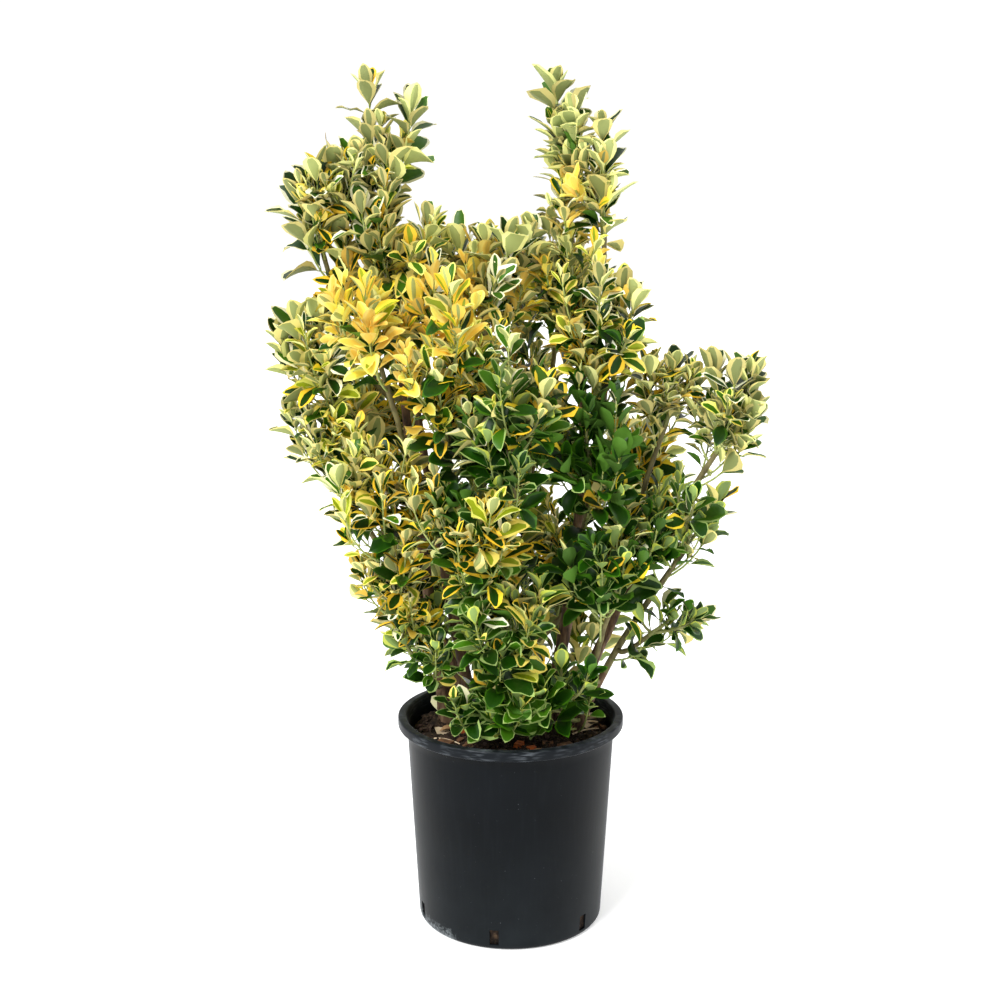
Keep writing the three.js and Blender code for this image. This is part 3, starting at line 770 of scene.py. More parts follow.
def make_limb(name, limb, seed):
    """The limb with its bark, replacing its plain solid."""
    draw = np.random.default_rng(seed)
    steps = max(LEAST_STEPS, round(limb.length / BARK_STEP))
    along = np.linspace(0, 1, steps + 1)
    places = limb.at(along)
    for axis in (0, 1):
        for waves in LIMB_WAVES:
            sway = LIMB_WANDER / waves * draw.normal()
            places[:, axis] += sway * np.sin(np.pi * waves * along) * np.sin(np.pi * along) * 2
    relief = bark_relief(along * limb.length, turns(BARK_SIDES), draw)
    if limb.flare > 1:
        places[0, 2] -= FOOT_IN_SOIL
    else:
        places[0] -= limb.heading(0) * limb.radii[0]
    radii = limb.radius(along)
    looks = np.where(radii[:-1] > YOUNG_RADIUS, PAINT["bark"], PAINT["bark_young"])
    shape = Shape()
    add_tube(shape, places, radii[:, None] * (1 + relief), BARK_SIDES, looks)
    shape.make(f"bark_{name}", "bark", name)


limbs = {name: stem_limb(*stem) for name, stem in STEMS.items()}
limbs |= {name: bough_limb(*bough) for name, bough in BOUGHS.items()}
for limb_number, (limb_name, limb) in enumerate(limbs.items()):
    make_limb(limb_name, limb, limb_number + 1)

# Places along every limb with the limb's radius there, for leaves to keep clear of
wood_along = np.linspace(0, 1, LIMB_PLACES)
WOOD_PLACES = np.concatenate([limb.at(wood_along) for limb in limbs.values()])
WOOD_RADII = np.concatenate([limb.radius(wood_along) for limb in limbs.values()])


# Space of the crown: the masses' ellipsoids, which run together where they are close

CENTRES = np.array([mass.centre for mass in MASSES.values()])
REACHES = np.array([mass.reach for mass in MASSES.values()])
HIGHEST_ENDS = np.array([mass.centre[2] + mass.ends_below for mass in MASSES.values()])


def nearness(off):
    """How much a mass counts at a distance from its centre, as a share of its reach."""
    return np.maximum(0, 1 - (off / FIELD_REACH) ** 2) ** FIELD_POWER


def off_masses(places):
    """How far places are from every mass's centre, as shares of its reach."""
    return np.linalg.norm((places[..., None, :] - CENTRES) / REACHES, axis=-1)


def crown_depth(places):
    """1 along the edge that shoots end at, more inside it."""
    return nearness(off_masses(places)).sum(-1) / nearness(SHOOT_EDGE)


def clear_of_pot(places):
    """Above the soil inside the pot, above the rim over it, and free outside it."""
    across = np.hypot(places[..., 0], places[..., 1])
    floor = np.where(across < LIP_INNER_RADIUS - INSIDE_LIP, SOIL_TOP + OVER_SOIL, POT_HEIGHT + OVER_RIM)
    return (places[..., 2] > floor) | (across > RIM_RADIUS + BESIDE_RIM)


def crown_holds(places):
    """Whether all places of each row lie where leaves may reach."""
    depth = crown_depth(places) * nearness(SHOOT_EDGE) / nearness(LEAF_EDGE)
    return ((depth >= 1) & clear_of_pot(places)).all(-1)


def in_room(places):
    """Whether all places of each row lie in the solids' box or just outside it."""
    low, high = (np.array(corner) / MM for corner in cad_bounds)
    return ((places > low - ROOM_MARGIN) & (places < high + ROOM_MARGIN)).all((-1, -2))


def shoot_ends():
    """Ends on a staggered, jittered lattice through the crown, and the mass that each belongs to."""
    draw = np.random.default_rng(LATTICE_SEED)
    low, high = (CENTRES - REACHES).min(0), (CENTRES + REACHES).max(0)
    counts = np.ceil((high - low) / SHOOT_GRID).astype(int) + 1
    cells = np.stack(np.meshgrid(*map(np.arange, counts), indexing="ij"), -1).reshape(-1, 3)
    stagger = (cells[:, 2] % 2)[:, None] * (0.5, 0.5, 0)
    jitter = draw.uniform(-GRID_JITTER, GRID_JITTER, cells.shape)
    ends = low + (cells + stagger + jitter) * SHOOT_GRID
    depth = crown_depth(ends)
    kept = depth > 1 + EDGE_UNEVENNESS * draw.normal(size=len(ends))
    kept &= (depth < DEEP_INSIDE) | (draw.uniform(size=len(ends)) < DEEP_KEPT)
    owner = off_masses(ends).argmin(1)
    kept &= (ends[:, 2] < HIGHEST_ENDS[owner]) & clear_of_pot(ends)
    return ends[kept], owner[kept]


SHOOT_ENDS, END_OWNERS = shoot_ends()


# Shoots of a mass


def mass_stem(mass):
    limb = limbs[mass.on]
    if mass.at is None:
        foot, outward = limb.at(1.0), limb.heading(1.0)
    else:
        foot, outward = side_of(limb, mass.at, mass.centre)
    top = mass.end((0, 0, 1), TOP_REACH)
    spring = np.linalg.norm(top - foot) * STEM_SPRING
    return Limb([foot, foot + outward * spring, top - (0, 0, spring), top], MASS_STEM_RADII)


def rising_shoot(foot, end, radii):
    """A shoot that leaves sideways and turns up to its end."""
    bend = np.array([end[0], end[1], foot[2]])
    bend += (foot - bend) * TWIG_SLACK
    bend += (end - bend) * TWIG_SLACK
    return Limb([foot, bend, end], radii)


def twig(mass, stem, number, pull):
    """A twig from the mass's stem to a place on the spiral, drawn back by a share."""
    rise = LOWEST_TWIG + (HIGHEST_TWIG - LOWEST_TWIG) * (number + 0.5) / TWIG_COUNT
    turn = number * GOLDEN_ANGLE + mass.centre[0]
    around = math.sqrt(1 - rise * rise)
    end = mass.end((around * math.cos(turn), around * math.sin(turn), rise), TWIG_REACH * pull)
    first, last = stem.points[0], stem.points[-1]
    climbed = (end[2] - TWIG_DROP - first[2]) / (last[2] - first[2])
    foot = stem.at(min(HIGHEST_SPRING, max(LOWEST_SPRING, climbed)))
    return rising_shoot(foot, end, TWIG_RADII)


def shoot_to(carriers, end, drop):
    """A finer shoot from the nearest place on the mass's own wood or a limb, some way below its end."""
    along = np.linspace(*SHOOT_SPRINGS)
    places = np.concatenate([WOOD_PLACES, *[carrier.at(along) for carrier in carriers]])
    below = end - (0, 0, drop)
    climb = np.maximum(0, places[:, 2] - below[2])
    nearest = np.argmin(np.linalg.norm(places - below, axis=1) + climb * CLIMB_COST)
    return rising_shoot(places[nearest], end, SHOOT_RADII)


def spur_on(shoot, number):
    """A short side shoot, turned by a golden angle from one shoot to the next."""
    axis, foot = shoot.heading(SPUR_PLACE), shoot.at(SPUR_PLACE)
    across = unit(np.cross(axis, SIDEWAYS))
    turn = number * GOLDEN_ANGLE
    outward = across * math.cos(turn) + np.cross(axis, across) * math.sin(turn)
    return rising_shoot(foot, foot + outward * SPUR_SPREAD + (0, 0, SPUR_RISE), SPUR_RADII)


def is_held(shoot, count):
    """Whether places on a shoot's outer part lie where leaves may reach."""
    return crown_holds(shoot.at(np.linspace(HELD_FROM, 1, count)))


def twigs_of(mass, stem):
    """The mass's twigs, each drawn back towards the middle until it fits."""
    twigs = []
    for number in range(TWIG_COUNT):
        tried = (twig(mass, stem, number, pull) for pull in PULL_BACK)
        twigs += [grown for grown in tried if is_held(grown, 6)][:1]
    return twigs


def shoots_of(mass, number):
    stem = mass_stem(mass)
    twigs = twigs_of(mass, stem)
    wood = [stem, *twigs]
    drop, tip_drop = mass.drops
    fine = [shoot_to(wood, end, drop) for end in SHOOT_ENDS[END_OWNERS == number]]
    tips = [shoot_to(wood, mass.centre + tip, tip_drop) for tip in mass.tips]
    spurs = [spur_on(shoot, order) for order, shoot in enumerate(fine)]
    return stem, twigs, fine, tips, [spur for spur in spurs if is_held(spur, 4)]


# Leaves


def leaves_on(shoot, draw, number, pairs, broad):
    """Root, directions, size and arch of each of a shoot's leaves, in crossing pairs from its end down."""
    rows = []
    phase = draw.uniform(0, np.pi)
    vigour = 1 + draw.normal(0, SHOOT_SPREAD)
    for pair, (back, usual_size, usual_splay) in enumerate(pairs):
        along = 1 - back / shoot.length
        if along < LOWEST_LEAF:
            break
        axis = shoot.heading(along)
        across = unit(np.cross(axis, SIDEWAYS))
        other = np.cross(axis, across)
        for side in (0, np.pi):
            turn = phase + side + pair * np.pi / 2 + draw.normal(0, TURN_SPREAD)
            outward = across * math.cos(turn) + other * math.sin(turn)
            splay = math.radians(usual_splay * draw.uniform(*SPLAY_SHARES))
            heading = axis * math.cos(splay) + outward * math.sin(splay)
            upper = axis * math.sin(splay) - outward * math.cos(splay)
            size = usual_size * vigour * (1 + draw.normal(0, LEAF_SPREAD))
            root = shoot.at(along) + outward * shoot.radius(along) * ROOT_DEPTH
            rows.append((root, heading, upper, size, usual_splay * ARCH_PER_SPLAY, number, broad))
    return rows


def settle_leaves(rows, mass, draw):
    """Leaf rows as arrays, each blade rolled a little towards the light."""
    names = ("root", "heading", "upper", "size", "arch", "shoot", "broad")
    leaves = {name: np.array(column) for name, column in zip(names, zip(*rows))}
    light = unit((leaves["root"] - mass.centre) * LIGHT_FROM_MIDDLE + LIGHT_FROM_ABOVE)
    upper = leaves["upper"] + LIGHT_PULL * light
    upper = upper + draw.normal(0, ROLL_SPREAD, upper.shape)
    heading = unit(leaves["heading"] + draw.normal(0, HEADING_SPREAD, upper.shape))
    upper = unit(upper - heading * (upper * heading).sum(1, keepdims=True))
    leaves.update(heading=heading, upper=upper)
    return leaves


def leaf_key_places(leaves, length):
    """Middle, tip and both sides of each blade."""
    across = np.cross(leaves["upper"], leaves["heading"])
    reach = leaves["heading"] * (length + PETIOLE_LENGTH)[:, None]
    side = across * (length * LEAF_WIDTH / 2)[:, None]
    middle = leaves["root"] + reach * LEAF_WIDEST
    return np.stack([middle, leaves["root"] + reach, middle + side, middle - side], 1)


def fitted_lengths(leaves, at_tip):
    """The largest size tried at which each leaf stays in the space and off the limbs, or 0.

    Leaves of the tips' shoots reach past the space, as those of the solid's tips do."""
    lengths = np.zeros(len(leaves["size"]))
    for share in LEAF_SIZES_TRIED:
        tried = LEAF_LENGTH * leaves["size"] * share
        places = leaf_key_places(leaves, tried)
        far = np.linalg.norm(places[:, :, None] - WOOD_PLACES, axis=-1) - WOOD_RADII
        fits = (crown_holds(places) | at_tip) & in_room(places) & clear_of_pot(places).all(-1)
        fits &= far.min((1, 2)) > LIMB_CLEARANCE
        lengths = np.where((lengths == 0) & fits, tried, lengths)
    return lengths


def blade_width(station):
    """Half width at a share of the length, as a share of the widest."""
    bent = station ** (math.log(0.5) / math.log(LEAF_WIDEST))
    return math.sin(math.pi * bent) ** LEAF_FULLNESS


# How uneven the two sides' margins are, and how much narrower the centre is behind
UNEVEN_LEAF = (0.62, 1.12)
UNEVEN_STATION = (0.85, 1.08)
BACK_SHARE = 0.88
ROW_SIZE = 8
FRONT_COLUMNS = (0, 1, 2, 3, 4)
BACK_COLUMNS = (0, 5, 6, 7, 4)


def blade_vertices(leaves, length, inner, draw):
    """Vertices of all blades: base, tip, then for each station five in front and three behind."""
    count = len(length)
    heading, upper = leaves["heading"], leaves["upper"]
    across = np.cross(upper, heading)
    arch = np.radians(leaves["arch"] + draw.normal(0, ARCH_SPREAD, count))
    bent = np.where(np.abs(arch) < LEAST_ARCH, LEAST_ARCH, arch)
    fold = np.tan(np.radians(draw.normal(FOLD, FOLD_SPREAD, count)))
    wave = draw.normal(0, LEAF_WAVE, count)
    wave_phase = draw.uniform(0, 2 * np.pi, count)
    breadth = (LEAF_WIDTH + WIDTH_SPREAD * draw.normal(size=count)) * leaves["broad"] * length / 2
    base = leaves["root"] + heading * PETIOLE_LENGTH
    zero = np.zeros(count)

    def place(station, aside, lift):
        turn = arch * station
        forward = np.sin(turn) / bent * length
        sink = (1 - np.cos(turn)) / bent * length
        ripple = wave * np.sin(2 * np.pi * station * LEAF_WAVES + wave_phase) * np.abs(aside)
        up = np.abs(aside) * fold + ripple - sink + lift
        return base + heading * forward[:, None] + across * aside[:, None] + upper * up[:, None]

    shares = [inner * draw.uniform(*UNEVEN_LEAF, count) for _ in range(2)]
    columns = [place(0, zero, 0), place(1, zero, 0)]
    half = LEAF_THICKNESS / 2
    for station in LEAF_STATIONS:
        width = blade_width(station) * breadth
        left, right = (share * draw.uniform(*UNEVEN_STATION, count) * width for share in shares)
        front = ((-width, 0), (-left, half), (zero, half), (right, half), (width, 0))
        columns += [place(station, aside, lift) for aside, lift in front]
        columns += [place(station, aside, -half) for aside in (-left * BACK_SHARE, zero, right * BACK_SHARE)]
    return np.stack(columns, 1)


def blade_faces():
    """Faces of one blade as (quads, quad parts, triangles, triangle parts).

    A part is 0 for the centre and 1 for the margin in front, 2 and 3 behind."""
    quads, quad_parts, triangles, triangle_parts = [], [], [], []
    top = (len(LEAF_STATIONS) - 1) * ROW_SIZE
    for columns, order, step in ((FRONT_COLUMNS, (0, 1, 2, 3), 1), (BACK_COLUMNS, (0, 3, 2, 1), -1)):
        for strip in range(4):
            part = (1 if strip in (0, 3) else 0) + (2 if columns is BACK_COLUMNS else 0)
            left, right = columns[strip] + 2, columns[strip + 1] + 2
            for low in range(0, top, ROW_SIZE):
                high = low + ROW_SIZE
                corners = [left + low, left + high, right + high, right + low]
                quads.append([corners[corner] for corner in order])
                quad_parts.append(part)
            triangles += [[0, left, right][::step], [1, right + top, left + top][::step]]
            triangle_parts += [part, part | 1]
    return np.array(quads), np.array(quad_parts), np.array(triangles), np.array(triangle_parts)


BLADE_SIZE = 2 + ROW_SIZE * len(LEAF_STATIONS)
QUADS, QUAD_PARTS, TRIANGLES, TRIANGLE_PARTS = blade_faces()
BLADE_OUTLINE = np.zeros(BLADE_SIZE, bool)
BLADE_OUTLINE[:2] = True
for column in (FRONT_COLUMNS[0], FRONT_COLUMNS[-1]):
    BLADE_OUTLINE[2 + column::ROW_SIZE] = True

# Colours of a leaf: centre and margin in front, centre and margin behind,
# and how far out the centre colour runs, as shares of the half width
PALETTES = {
    "deep_yellow": ("deep", "amber", "under_green", "under_cream", (0.5, 0.8)),
    "deep_cream": ("deep", "cream", "under_green", "under_cream", (0.56, 0.84)),
    "mid_cream": ("mid", "cream", "under_green", "under_cream", (0.5, 0.8)),
    "mid_yellow": ("mid", "yellow", "under_green", "under_cream", (0.45, 0.76)),
    "fresh_yellow": ("fresh", "yellow", "under_green", "under_cream", (0.4, 0.7)),
    "half_gold": ("fresh", "amber", "under_green", "under_gold", (0.25, 0.5)),
    "gold": ("gold", "light_gold", "under_gold", "light_gold", (0.6, 0.8)),
    "tip_deep": ("deep", "cream", "under_green", "under_cream", (0.72, 0.88)),
    "tip_mid": ("mid", "cream", "under_green", "under_cream", (0.72, 0.88)),
    "plain_deep": ("deep", "pale_green", "under_mid", "lime", (0.9, 0.95)),
    "plain_mid": ("mid", "pale_green", "under_mid", "lime", (0.9, 0.95)),
    # Painted shade: the dark centre, margin and underside given to leaves in the crown's shade
    "shaded": ("deep", "mid", "under_painted_shade", "under_painted_shade", (0.8, 0.9)),
}
PALETTE_NAMES = list(PALETTES)
CENTRE_REACHES = np.array([palette[4] for palette in PALETTES.values()])
PALETTE_LOOKS = np.array([
    [PAINT[f"leaf_{colour}_0"] for colour in palette[:4]] for palette in PALETTES.values()
])

# How palettes are dealt out in each look of a mass, as shares of its shoots
# The shaded share in each look is painted shade; the deep and shaded_foot looks carry the most of it.
DEALT = {
    "variegated": dict(
        deep_yellow=0.3, deep_cream=0.14, mid_cream=0.12, mid_yellow=0.16, fresh_yellow=0.12,
        half_gold=0.07, gold=0.03, plain_mid=0.06,
    ),
    "bright": dict(
        deep_yellow=0.2, deep_cream=0.12, mid_cream=0.18, mid_yellow=0.18, fresh_yellow=0.2,
        half_gold=0.08, gold=0.04,
    ),
    "gold": dict(gold=0.56, half_gold=0.13, fresh_yellow=0.19, mid_yellow=0.06, mid_cream=0.06),
    "mixed_gold": dict(
        gold=0.37, half_gold=0.17, fresh_yellow=0.14, mid_yellow=0.1, deep_yellow=0.14, shaded=0.08,
    ),
    "sunny": dict(
        gold=0.28, half_gold=0.14, fresh_yellow=0.27, mid_yellow=0.13, mid_cream=0.14, deep_yellow=0.04,
    ),
    "deep": dict(
        shaded=0.46, plain_deep=0.22, plain_mid=0.08, deep_yellow=0.16, deep_cream=0.02,
        mid_yellow=0.03, fresh_yellow=0.03,
    ),
    "mixed": dict(
        shaded=0.2, plain_deep=0.12, plain_mid=0.1, deep_yellow=0.28, deep_cream=0.03, mid_yellow=0.12,
        fresh_yellow=0.1, half_gold=0.05,
    ),
    "green": dict(
        plain_deep=0.22, plain_mid=0.34, deep_yellow=0.1, mid_yellow=0.12, mid_cream=0.13,
        fresh_yellow=0.09,
    ),
    "foot": dict(plain_deep=0.44, plain_mid=0.46, mid_yellow=0.06, mid_cream=0.04),
    # Painted shade: the low front right dealt mostly plain deep and shaded leaves
    "shaded_foot": dict(plain_deep=0.62, plain_mid=0.22, shaded=0.16),
    "tip": dict(tip_deep=0.5, tip_mid=0.4, deep_yellow=0.1),
}
TIP_LOOKS = {"green": "green", "foot": "foot"}
LOOK_SIZES = {"foot": 1.22, "shaded_foot": 1.22, "deep": 1.05}
LOOK_BREADTHS = {"foot": 1.16, "shaded_foot": 1.16, "green": 1.06, "deep": 1.06}
STAYS_WITH_SHOOT = 0.7
# Painted shade: the crown depth past which leaves take the shaded palette, and the arch and share of older
# leaves that take it too
SHADE_DEPTH = (2.6, 5)
OLD_ARCH = 25.5
OLD_SHADED = 0.25


def deal_palettes(look, leaves, draw):
    """A palette for each leaf: mostly its shoot's own, sometimes another. Deep in the crown, and on
    many of the older leaves, which arch the most, it is the dark, plain shaded palette: painted shade,
    which on the older leaves also stands for their own plainer green."""
    shoots = leaves["shoot"]
    numbers = [PALETTE_NAMES.index(palette) for palette in DEALT[look]]
    shares = np.array(list(DEALT[look].values()))
    shares = shares / shares.sum()
    by_shoot = draw.choice(numbers, shoots.max() + 1, p=shares)
    alone = draw.choice(numbers, len(shoots), p=shares)
    chance = draw.uniform(size=len(shoots))
    dealt = np.where(chance < STAYS_WITH_SHOOT, by_shoot[shoots], alone)
    # Painted shade: the shaded palette deep in the crown and on a share of the older leaves
    in_shade = crown_depth(leaves["root"]) > draw.uniform(*SHADE_DEPTH, len(shoots))
    if look != "tip":
        in_shade |= (leaves["arch"] > OLD_ARCH) & (chance < OLD_SHADED)
    return np.where(in_shade, PALETTE_NAMES.index("shaded"), dealt)


def add_blades(shape, leaves, length, inner, looks, draw):
    """The leaves' blades, with the centre's share of the half width and four looks for each."""
    vertices = blade_vertices(leaves, length, inner, draw)
    first = (np.arange(len(length)) * BLADE_SIZE)[:, None, None]
    quads = (QUADS + first).reshape(-1, 4)
    triangles = (TRIANGLES + first).reshape(-1, 3)
    groups = [(quads, looks[:, QUAD_PARTS].ravel()), (triangles, looks[:, TRIANGLE_PARTS].ravel())]
    shape.add(vertices.reshape(-1, 3), groups, np.tile(BLADE_OUTLINE, len(length)))


def add_petioles(shape, leaves, look):
    """A short closed stalk from inside the shoot to each blade's base."""
    root, heading, upper = (leaves[name][:, None] for name in ("root", "heading", "upper"))
    ring = ways_round(np.cross(upper, heading)[:, 0], upper[:, 0], PETIOLE_SIDES) * PETIOLE_RADIUS
    tip = root + heading * (PETIOLE_LENGTH + PETIOLE_OVERLAP) + ring
    first = (np.arange(len(root)) * PETIOLE_SIDES * 2)[:, None, None]
    sides = (grid_faces(2, PETIOLE_SIDES)[:, ::-1] + first).reshape(-1, 4)
    caps = np.concatenate(end_faces(2, PETIOLE_SIDES))[:, ::-1]
    caps = (caps + first).reshape(-1, PETIOLE_SIDES)
    vertices = np.concatenate([root + ring * PETIOLE_FOOT, tip], 1).reshape(-1, 3)
    shape.add(vertices, [(sides, look), (caps, look)])


def make_twigs(name, stem, twigs, fine, tips, spurs):
    """The wood of a mass: for each kind of shoot, steps along it, sides and look."""
    wood = Shape()
    for shoots, steps, sides, look in (
        ([stem], 14, 8, "twig"),
        (twigs, 10, 7, "twig"),
        (fine + tips, 8, 6, "shoot"),
        (spurs, 3, 5, "shoot"),
    ):
        along = np.linspace(0, 1, steps + 1)
        for shoot in shoots:
            add_tube(wood, shoot.at(along), shoot.radius(along), sides, PAINT[look])
    wood.make(f"twigs_{name}", "bark", name)


def make_mass(name, mass, number):
    draw = np.random.default_rng(number + 1)
    stem, twigs, fine, tips, spurs = shoots_of(mass, number)
    make_twigs(name, stem, twigs, fine, tips, spurs)

    rows = []
    usual = [stem, *twigs, *fine]
    kinds = ((usual, 0, "shoot"), (tips, len(usual), mass.tip_habit), (spurs, 0, "spur"))
    for shoots, first, habit in kinds:
        for order, shoot in enumerate(shoots, first):
            rows += leaves_on(shoot, draw, order, *HABITS[habit])
    leaves = settle_leaves(rows, mass, draw)
    look = mass.look
    at_tip = leaves["shoot"] >= len(usual)
    least, most = LEAF_SHARES
    share = min(most, max(least, mass.reach.min() / USUAL_REACH)) * LOOK_SIZES.get(look, 1)
    leaves["size"] *= np.where(at_tip, mass.tip_leaves, share)
    leaves["broad"] = leaves["broad"] * np.where(at_tip, 1, LOOK_BREADTHS.get(look, 1))
    length = fitted_lengths(leaves, at_tip)
    kept = length > 0
    leaves = {key: values[kept] for key, values in leaves.items()}
    length, at_tip = length[kept], at_tip[kept]

    palettes = deal_palettes(look, leaves, draw)
    palettes[at_tip] = deal_palettes(TIP_LOOKS.get(look, "tip"), leaves, draw)[at_tip]
    nearest, furthest = CENTRE_REACHES[palettes].T
    inner = nearest + (furthest - nearest) * draw.uniform(size=len(length))
    looks = PALETTE_LOOKS[palettes] + draw.integers(0, len(LEAF_TONES), (len(length), 1))
    foliage = Shape()
    add_blades(foliage, leaves, length, inner, looks, draw)
    add_petioles(foliage, leaves, PAINT["leaf_lime_0"])
    foliage.make(f"leaves_{name}", "foliage", name)


for mass_number, (mass_name, mass) in enumerate(MASSES.items()):
    make_mass(mass_name, mass, mass_number)


# Pot


def wall_radius(height):
    return BASE_RADIUS + (WALL_TOP_RADIUS - BASE_RADIUS) * height / (POT_HEIGHT - RIM_BAND)


def make_round(name, slot, look, radii, angles, heights, walls):
    """A piece that replaces a round solid: rows of places round the upright axis, and its end faces."""
    x, y = radii * np.cos(angles), radii * np.sin(angles)
    vertices = np.stack([x, y, np.broadcast_to(heights, x.shape)], -1).reshape(-1, 3)
    shape = Shape()
    shape.add(vertices, [(faces, PAINT[look]) for faces in (*walls, *end_faces(*x.shape))])
    return shape.make(name, slot, slot)


def quarter(across, height, radius, start):
    """Points on a quarter of a circle from an angle in degrees."""
    angles = np.radians(np.linspace(start, start + 90, ARC_STEPS + 1))
    return [(across + radius * math.cos(a), height + radius * math.sin(a)) for a in angles]


def pot_profile():
    """The wall's outline from the middle of the underside, up outside, over the rim and down inside.

    Also the first of the rows, outside and inside, between which the slots are cut."""
    band = POT_HEIGHT - RIM_BAND
    outside = [(wall_radius(level), level) for level in (*SLOT_LEVELS, *WALL_LEVELS)]
    corner = quarter(wall_radius(BASE_CORNER) - BASE_CORNER, BASE_CORNER, BASE_CORNER, -90)
    rim = [(WALL_TOP_RADIUS, band - 2), (WALL_TOP_RADIUS + BAND_STEP, band)]
    rim += quarter(RIM_RADIUS - RIM_ROUND, band + RIM_ROUND, RIM_ROUND, -90)
    rim += quarter(RIM_RADIUS - RIM_ROUND, POT_HEIGHT - RIM_ROUND, RIM_ROUND, 0)
    rim += quarter(LIP_INNER_RADIUS + RIM_ROUND, POT_HEIGHT - RIM_ROUND, RIM_ROUND, 90)
    rim += [(WALL_TOP_RADIUS - WALL, band)]
    inside = [(radius - WALL, level) for radius, level in outside[::-1]]
    floor = [(wall_radius(FLOOR) - WALL, FLOOR), (FLOOR_RING, FLOOR), (1, FLOOR)]
    profile = [(1, 0), (FLOOR_RING, 0), *corner, *outside, *rim, *inside, *floor]
    return profile, 2 + len(corner), len(profile) - len(floor) - len(SLOT_LEVELS)


def pot_angles():
    """Angles of the wall's columns, with columns on both edges of each slot."""
    half = math.degrees(SLOT_WIDTH / 2 / BASE_RADIUS)
    pitch = 360 / SLOT_COUNT
    angles = []
    for number in range(SLOT_COUNT):
        middle = SLOT_FIRST_ANGLE + number * pitch
        angles += [*np.linspace(middle - half, middle + half, COLUMNS_ACROSS_SLOT, endpoint=False)]
        start, end = middle + half, middle + pitch - half
        angles += [*np.linspace(start, end, COLUMNS_BETWEEN_SLOTS, endpoint=False)]
    return np.radians(angles)


def slot_sides(grid, first_outside, first_inside, is_slot):
    """Faces through the wall round each slot: its sill, its head and its two sides."""
    grid = np.append(grid, grid[:, :1], 1)
    outer = grid[first_outside:][:len(SLOT_LEVELS)]
    inner = grid[first_inside:][:len(SLOT_LEVELS)][::-1]
    sides = []
    for column in np.flatnonzero(is_slot):
        after = column + 1
        sides.append([inner[0, column], inner[0, after], outer[0, after], outer[0, column]])
        sides.append([inner[-1, after], inner[-1, column], outer[-1, column], outer[-1, after]])
        for edge, beyond, step in ((column, column - 1, 1), (after, after % len(is_slot), -1)):
            for low in range(0 if is_slot[beyond] else len(SLOT_LEVELS) - 1):
                up, down = outer[low:low + 2, edge], inner[low:low + 2, edge][::-1]
                sides.append([*up, *down][::step])
    return sides


def make_pot():
    profile, first_outside, first_inside = pot_profile()
    angles = pot_angles()
    pitch = COLUMNS_ACROSS_SLOT + COLUMNS_BETWEEN_SLOTS
    is_slot = np.arange(len(angles)) % pitch < COLUMNS_ACROSS_SLOT
    radii, heights = np.array(profile).T[..., None]
    shift = POT_OUT_OF_ROUND * np.sin(3 * angles + 1)
    uneven = radii + shift * (heights / POT_HEIGHT) * (radii > FLOOR_RING)
    rows, columns = uneven.shape
    kept = np.ones((rows - 1, columns), bool)
    for first in (first_outside, first_inside):
        kept[first:first + len(SLOT_LEVELS) - 1, is_slot] = False
    grid = np.arange(rows * columns).reshape(rows, columns)
    walls = (grid_faces(rows, columns)[kept.ravel()], slot_sides(grid, first_outside, first_inside, is_slot))
    piece = make_round("nursery_pot", "pot", "pot_plastic", uneven, angles, heights, walls)
    piece.data.set_sharp_from_angle(angle=POT_SHARP)


make_pot()


# Soil


def filling_radius(height):
    return wall_radius(height) - WALL - SOIL_GAP


def soil_lumps(across, angle, draw):
    """Unevenness of the soil's top, in waves of several lengths."""
    x, y = across * np.cos(angle), across * np.sin(angle)
    height = np.zeros_like(x)
    for wave_length in SOIL_WAVES:
        for _ in range(WAVES_OF_EACH):
            turn, phase = draw.uniform(0, 2 * np.pi), draw.uniform(0, 2 * np.pi)
            along = x * math.cos(turn) + y * math.sin(turn)
            height += np.sin(2 * np.pi * along / wave_length + phase) * wave_length ** WAVE_POWER
    return SOIL_RELIEF * height / USUAL_WAVES


def make_soil():
    draw = np.random.default_rng(SOIL_SEED)
    edge_height = SOIL_TOP - SOIL_EDGE_DROP
    edge_radius = filling_radius(edge_height)
    angles = turns(SOIL_SIDES)
    rings = [(1, FLOOR + SOIL_GAP), (filling_radius(FLOOR), FLOOR + SOIL_GAP)]
    rings += [(filling_radius(level), level) for level in (*SOIL_LEVELS, edge_height - EDGE_RING)]
    ring_radii, ring_heights = np.array(rings).T[..., None]
    across = np.linspace(edge_radius, 1, SOIL_RINGS)[:, None]
    rise = np.clip((edge_radius - across) / SOIL_EDGE_WIDTH, 0, 1) * SOIL_EDGE_DROP
    calm = np.clip((edge_radius - across) / CALM_EDGE, CALM_SHARE, 1)
    lumps = soil_lumps(across, angles, draw) * calm
    ring_heights = np.broadcast_to(ring_heights, (len(rings), SOIL_SIDES))
    radii = np.concatenate([ring_radii, across])
    heights = np.concatenate([ring_heights, edge_height + rise + lumps])
    walls = (grid_faces(*heights.shape),)
    make_round("soil_filling", "soil", "potting_soil", radii, angles, heights, walls)


CUBE_CORNERS = np.array([[x, y, z] for z in (-1, 1) for y in (-1, 1) for x in (-1, 1)], float)
CUBE_FACES = np.array([[0, 2, 3, 1], [4, 5, 7, 6], [0, 1, 5, 4], [2, 6, 7, 3], [0, 4, 6, 2], [1, 3, 7, 5]])


def turned(places, angle):
    """Places turned about the upright axis."""
    c, s = math.cos(angle), math.sin(angle)
    return np.asarray(places) @ np.array([[c, s, 0], [-s, c, 0], [0, 0, 1]])


def uneven_block(half, draw):
    return CUBE_CORNERS * half * draw.uniform(*BLOCK_UNEVENNESS, CUBE_CORNERS.shape)


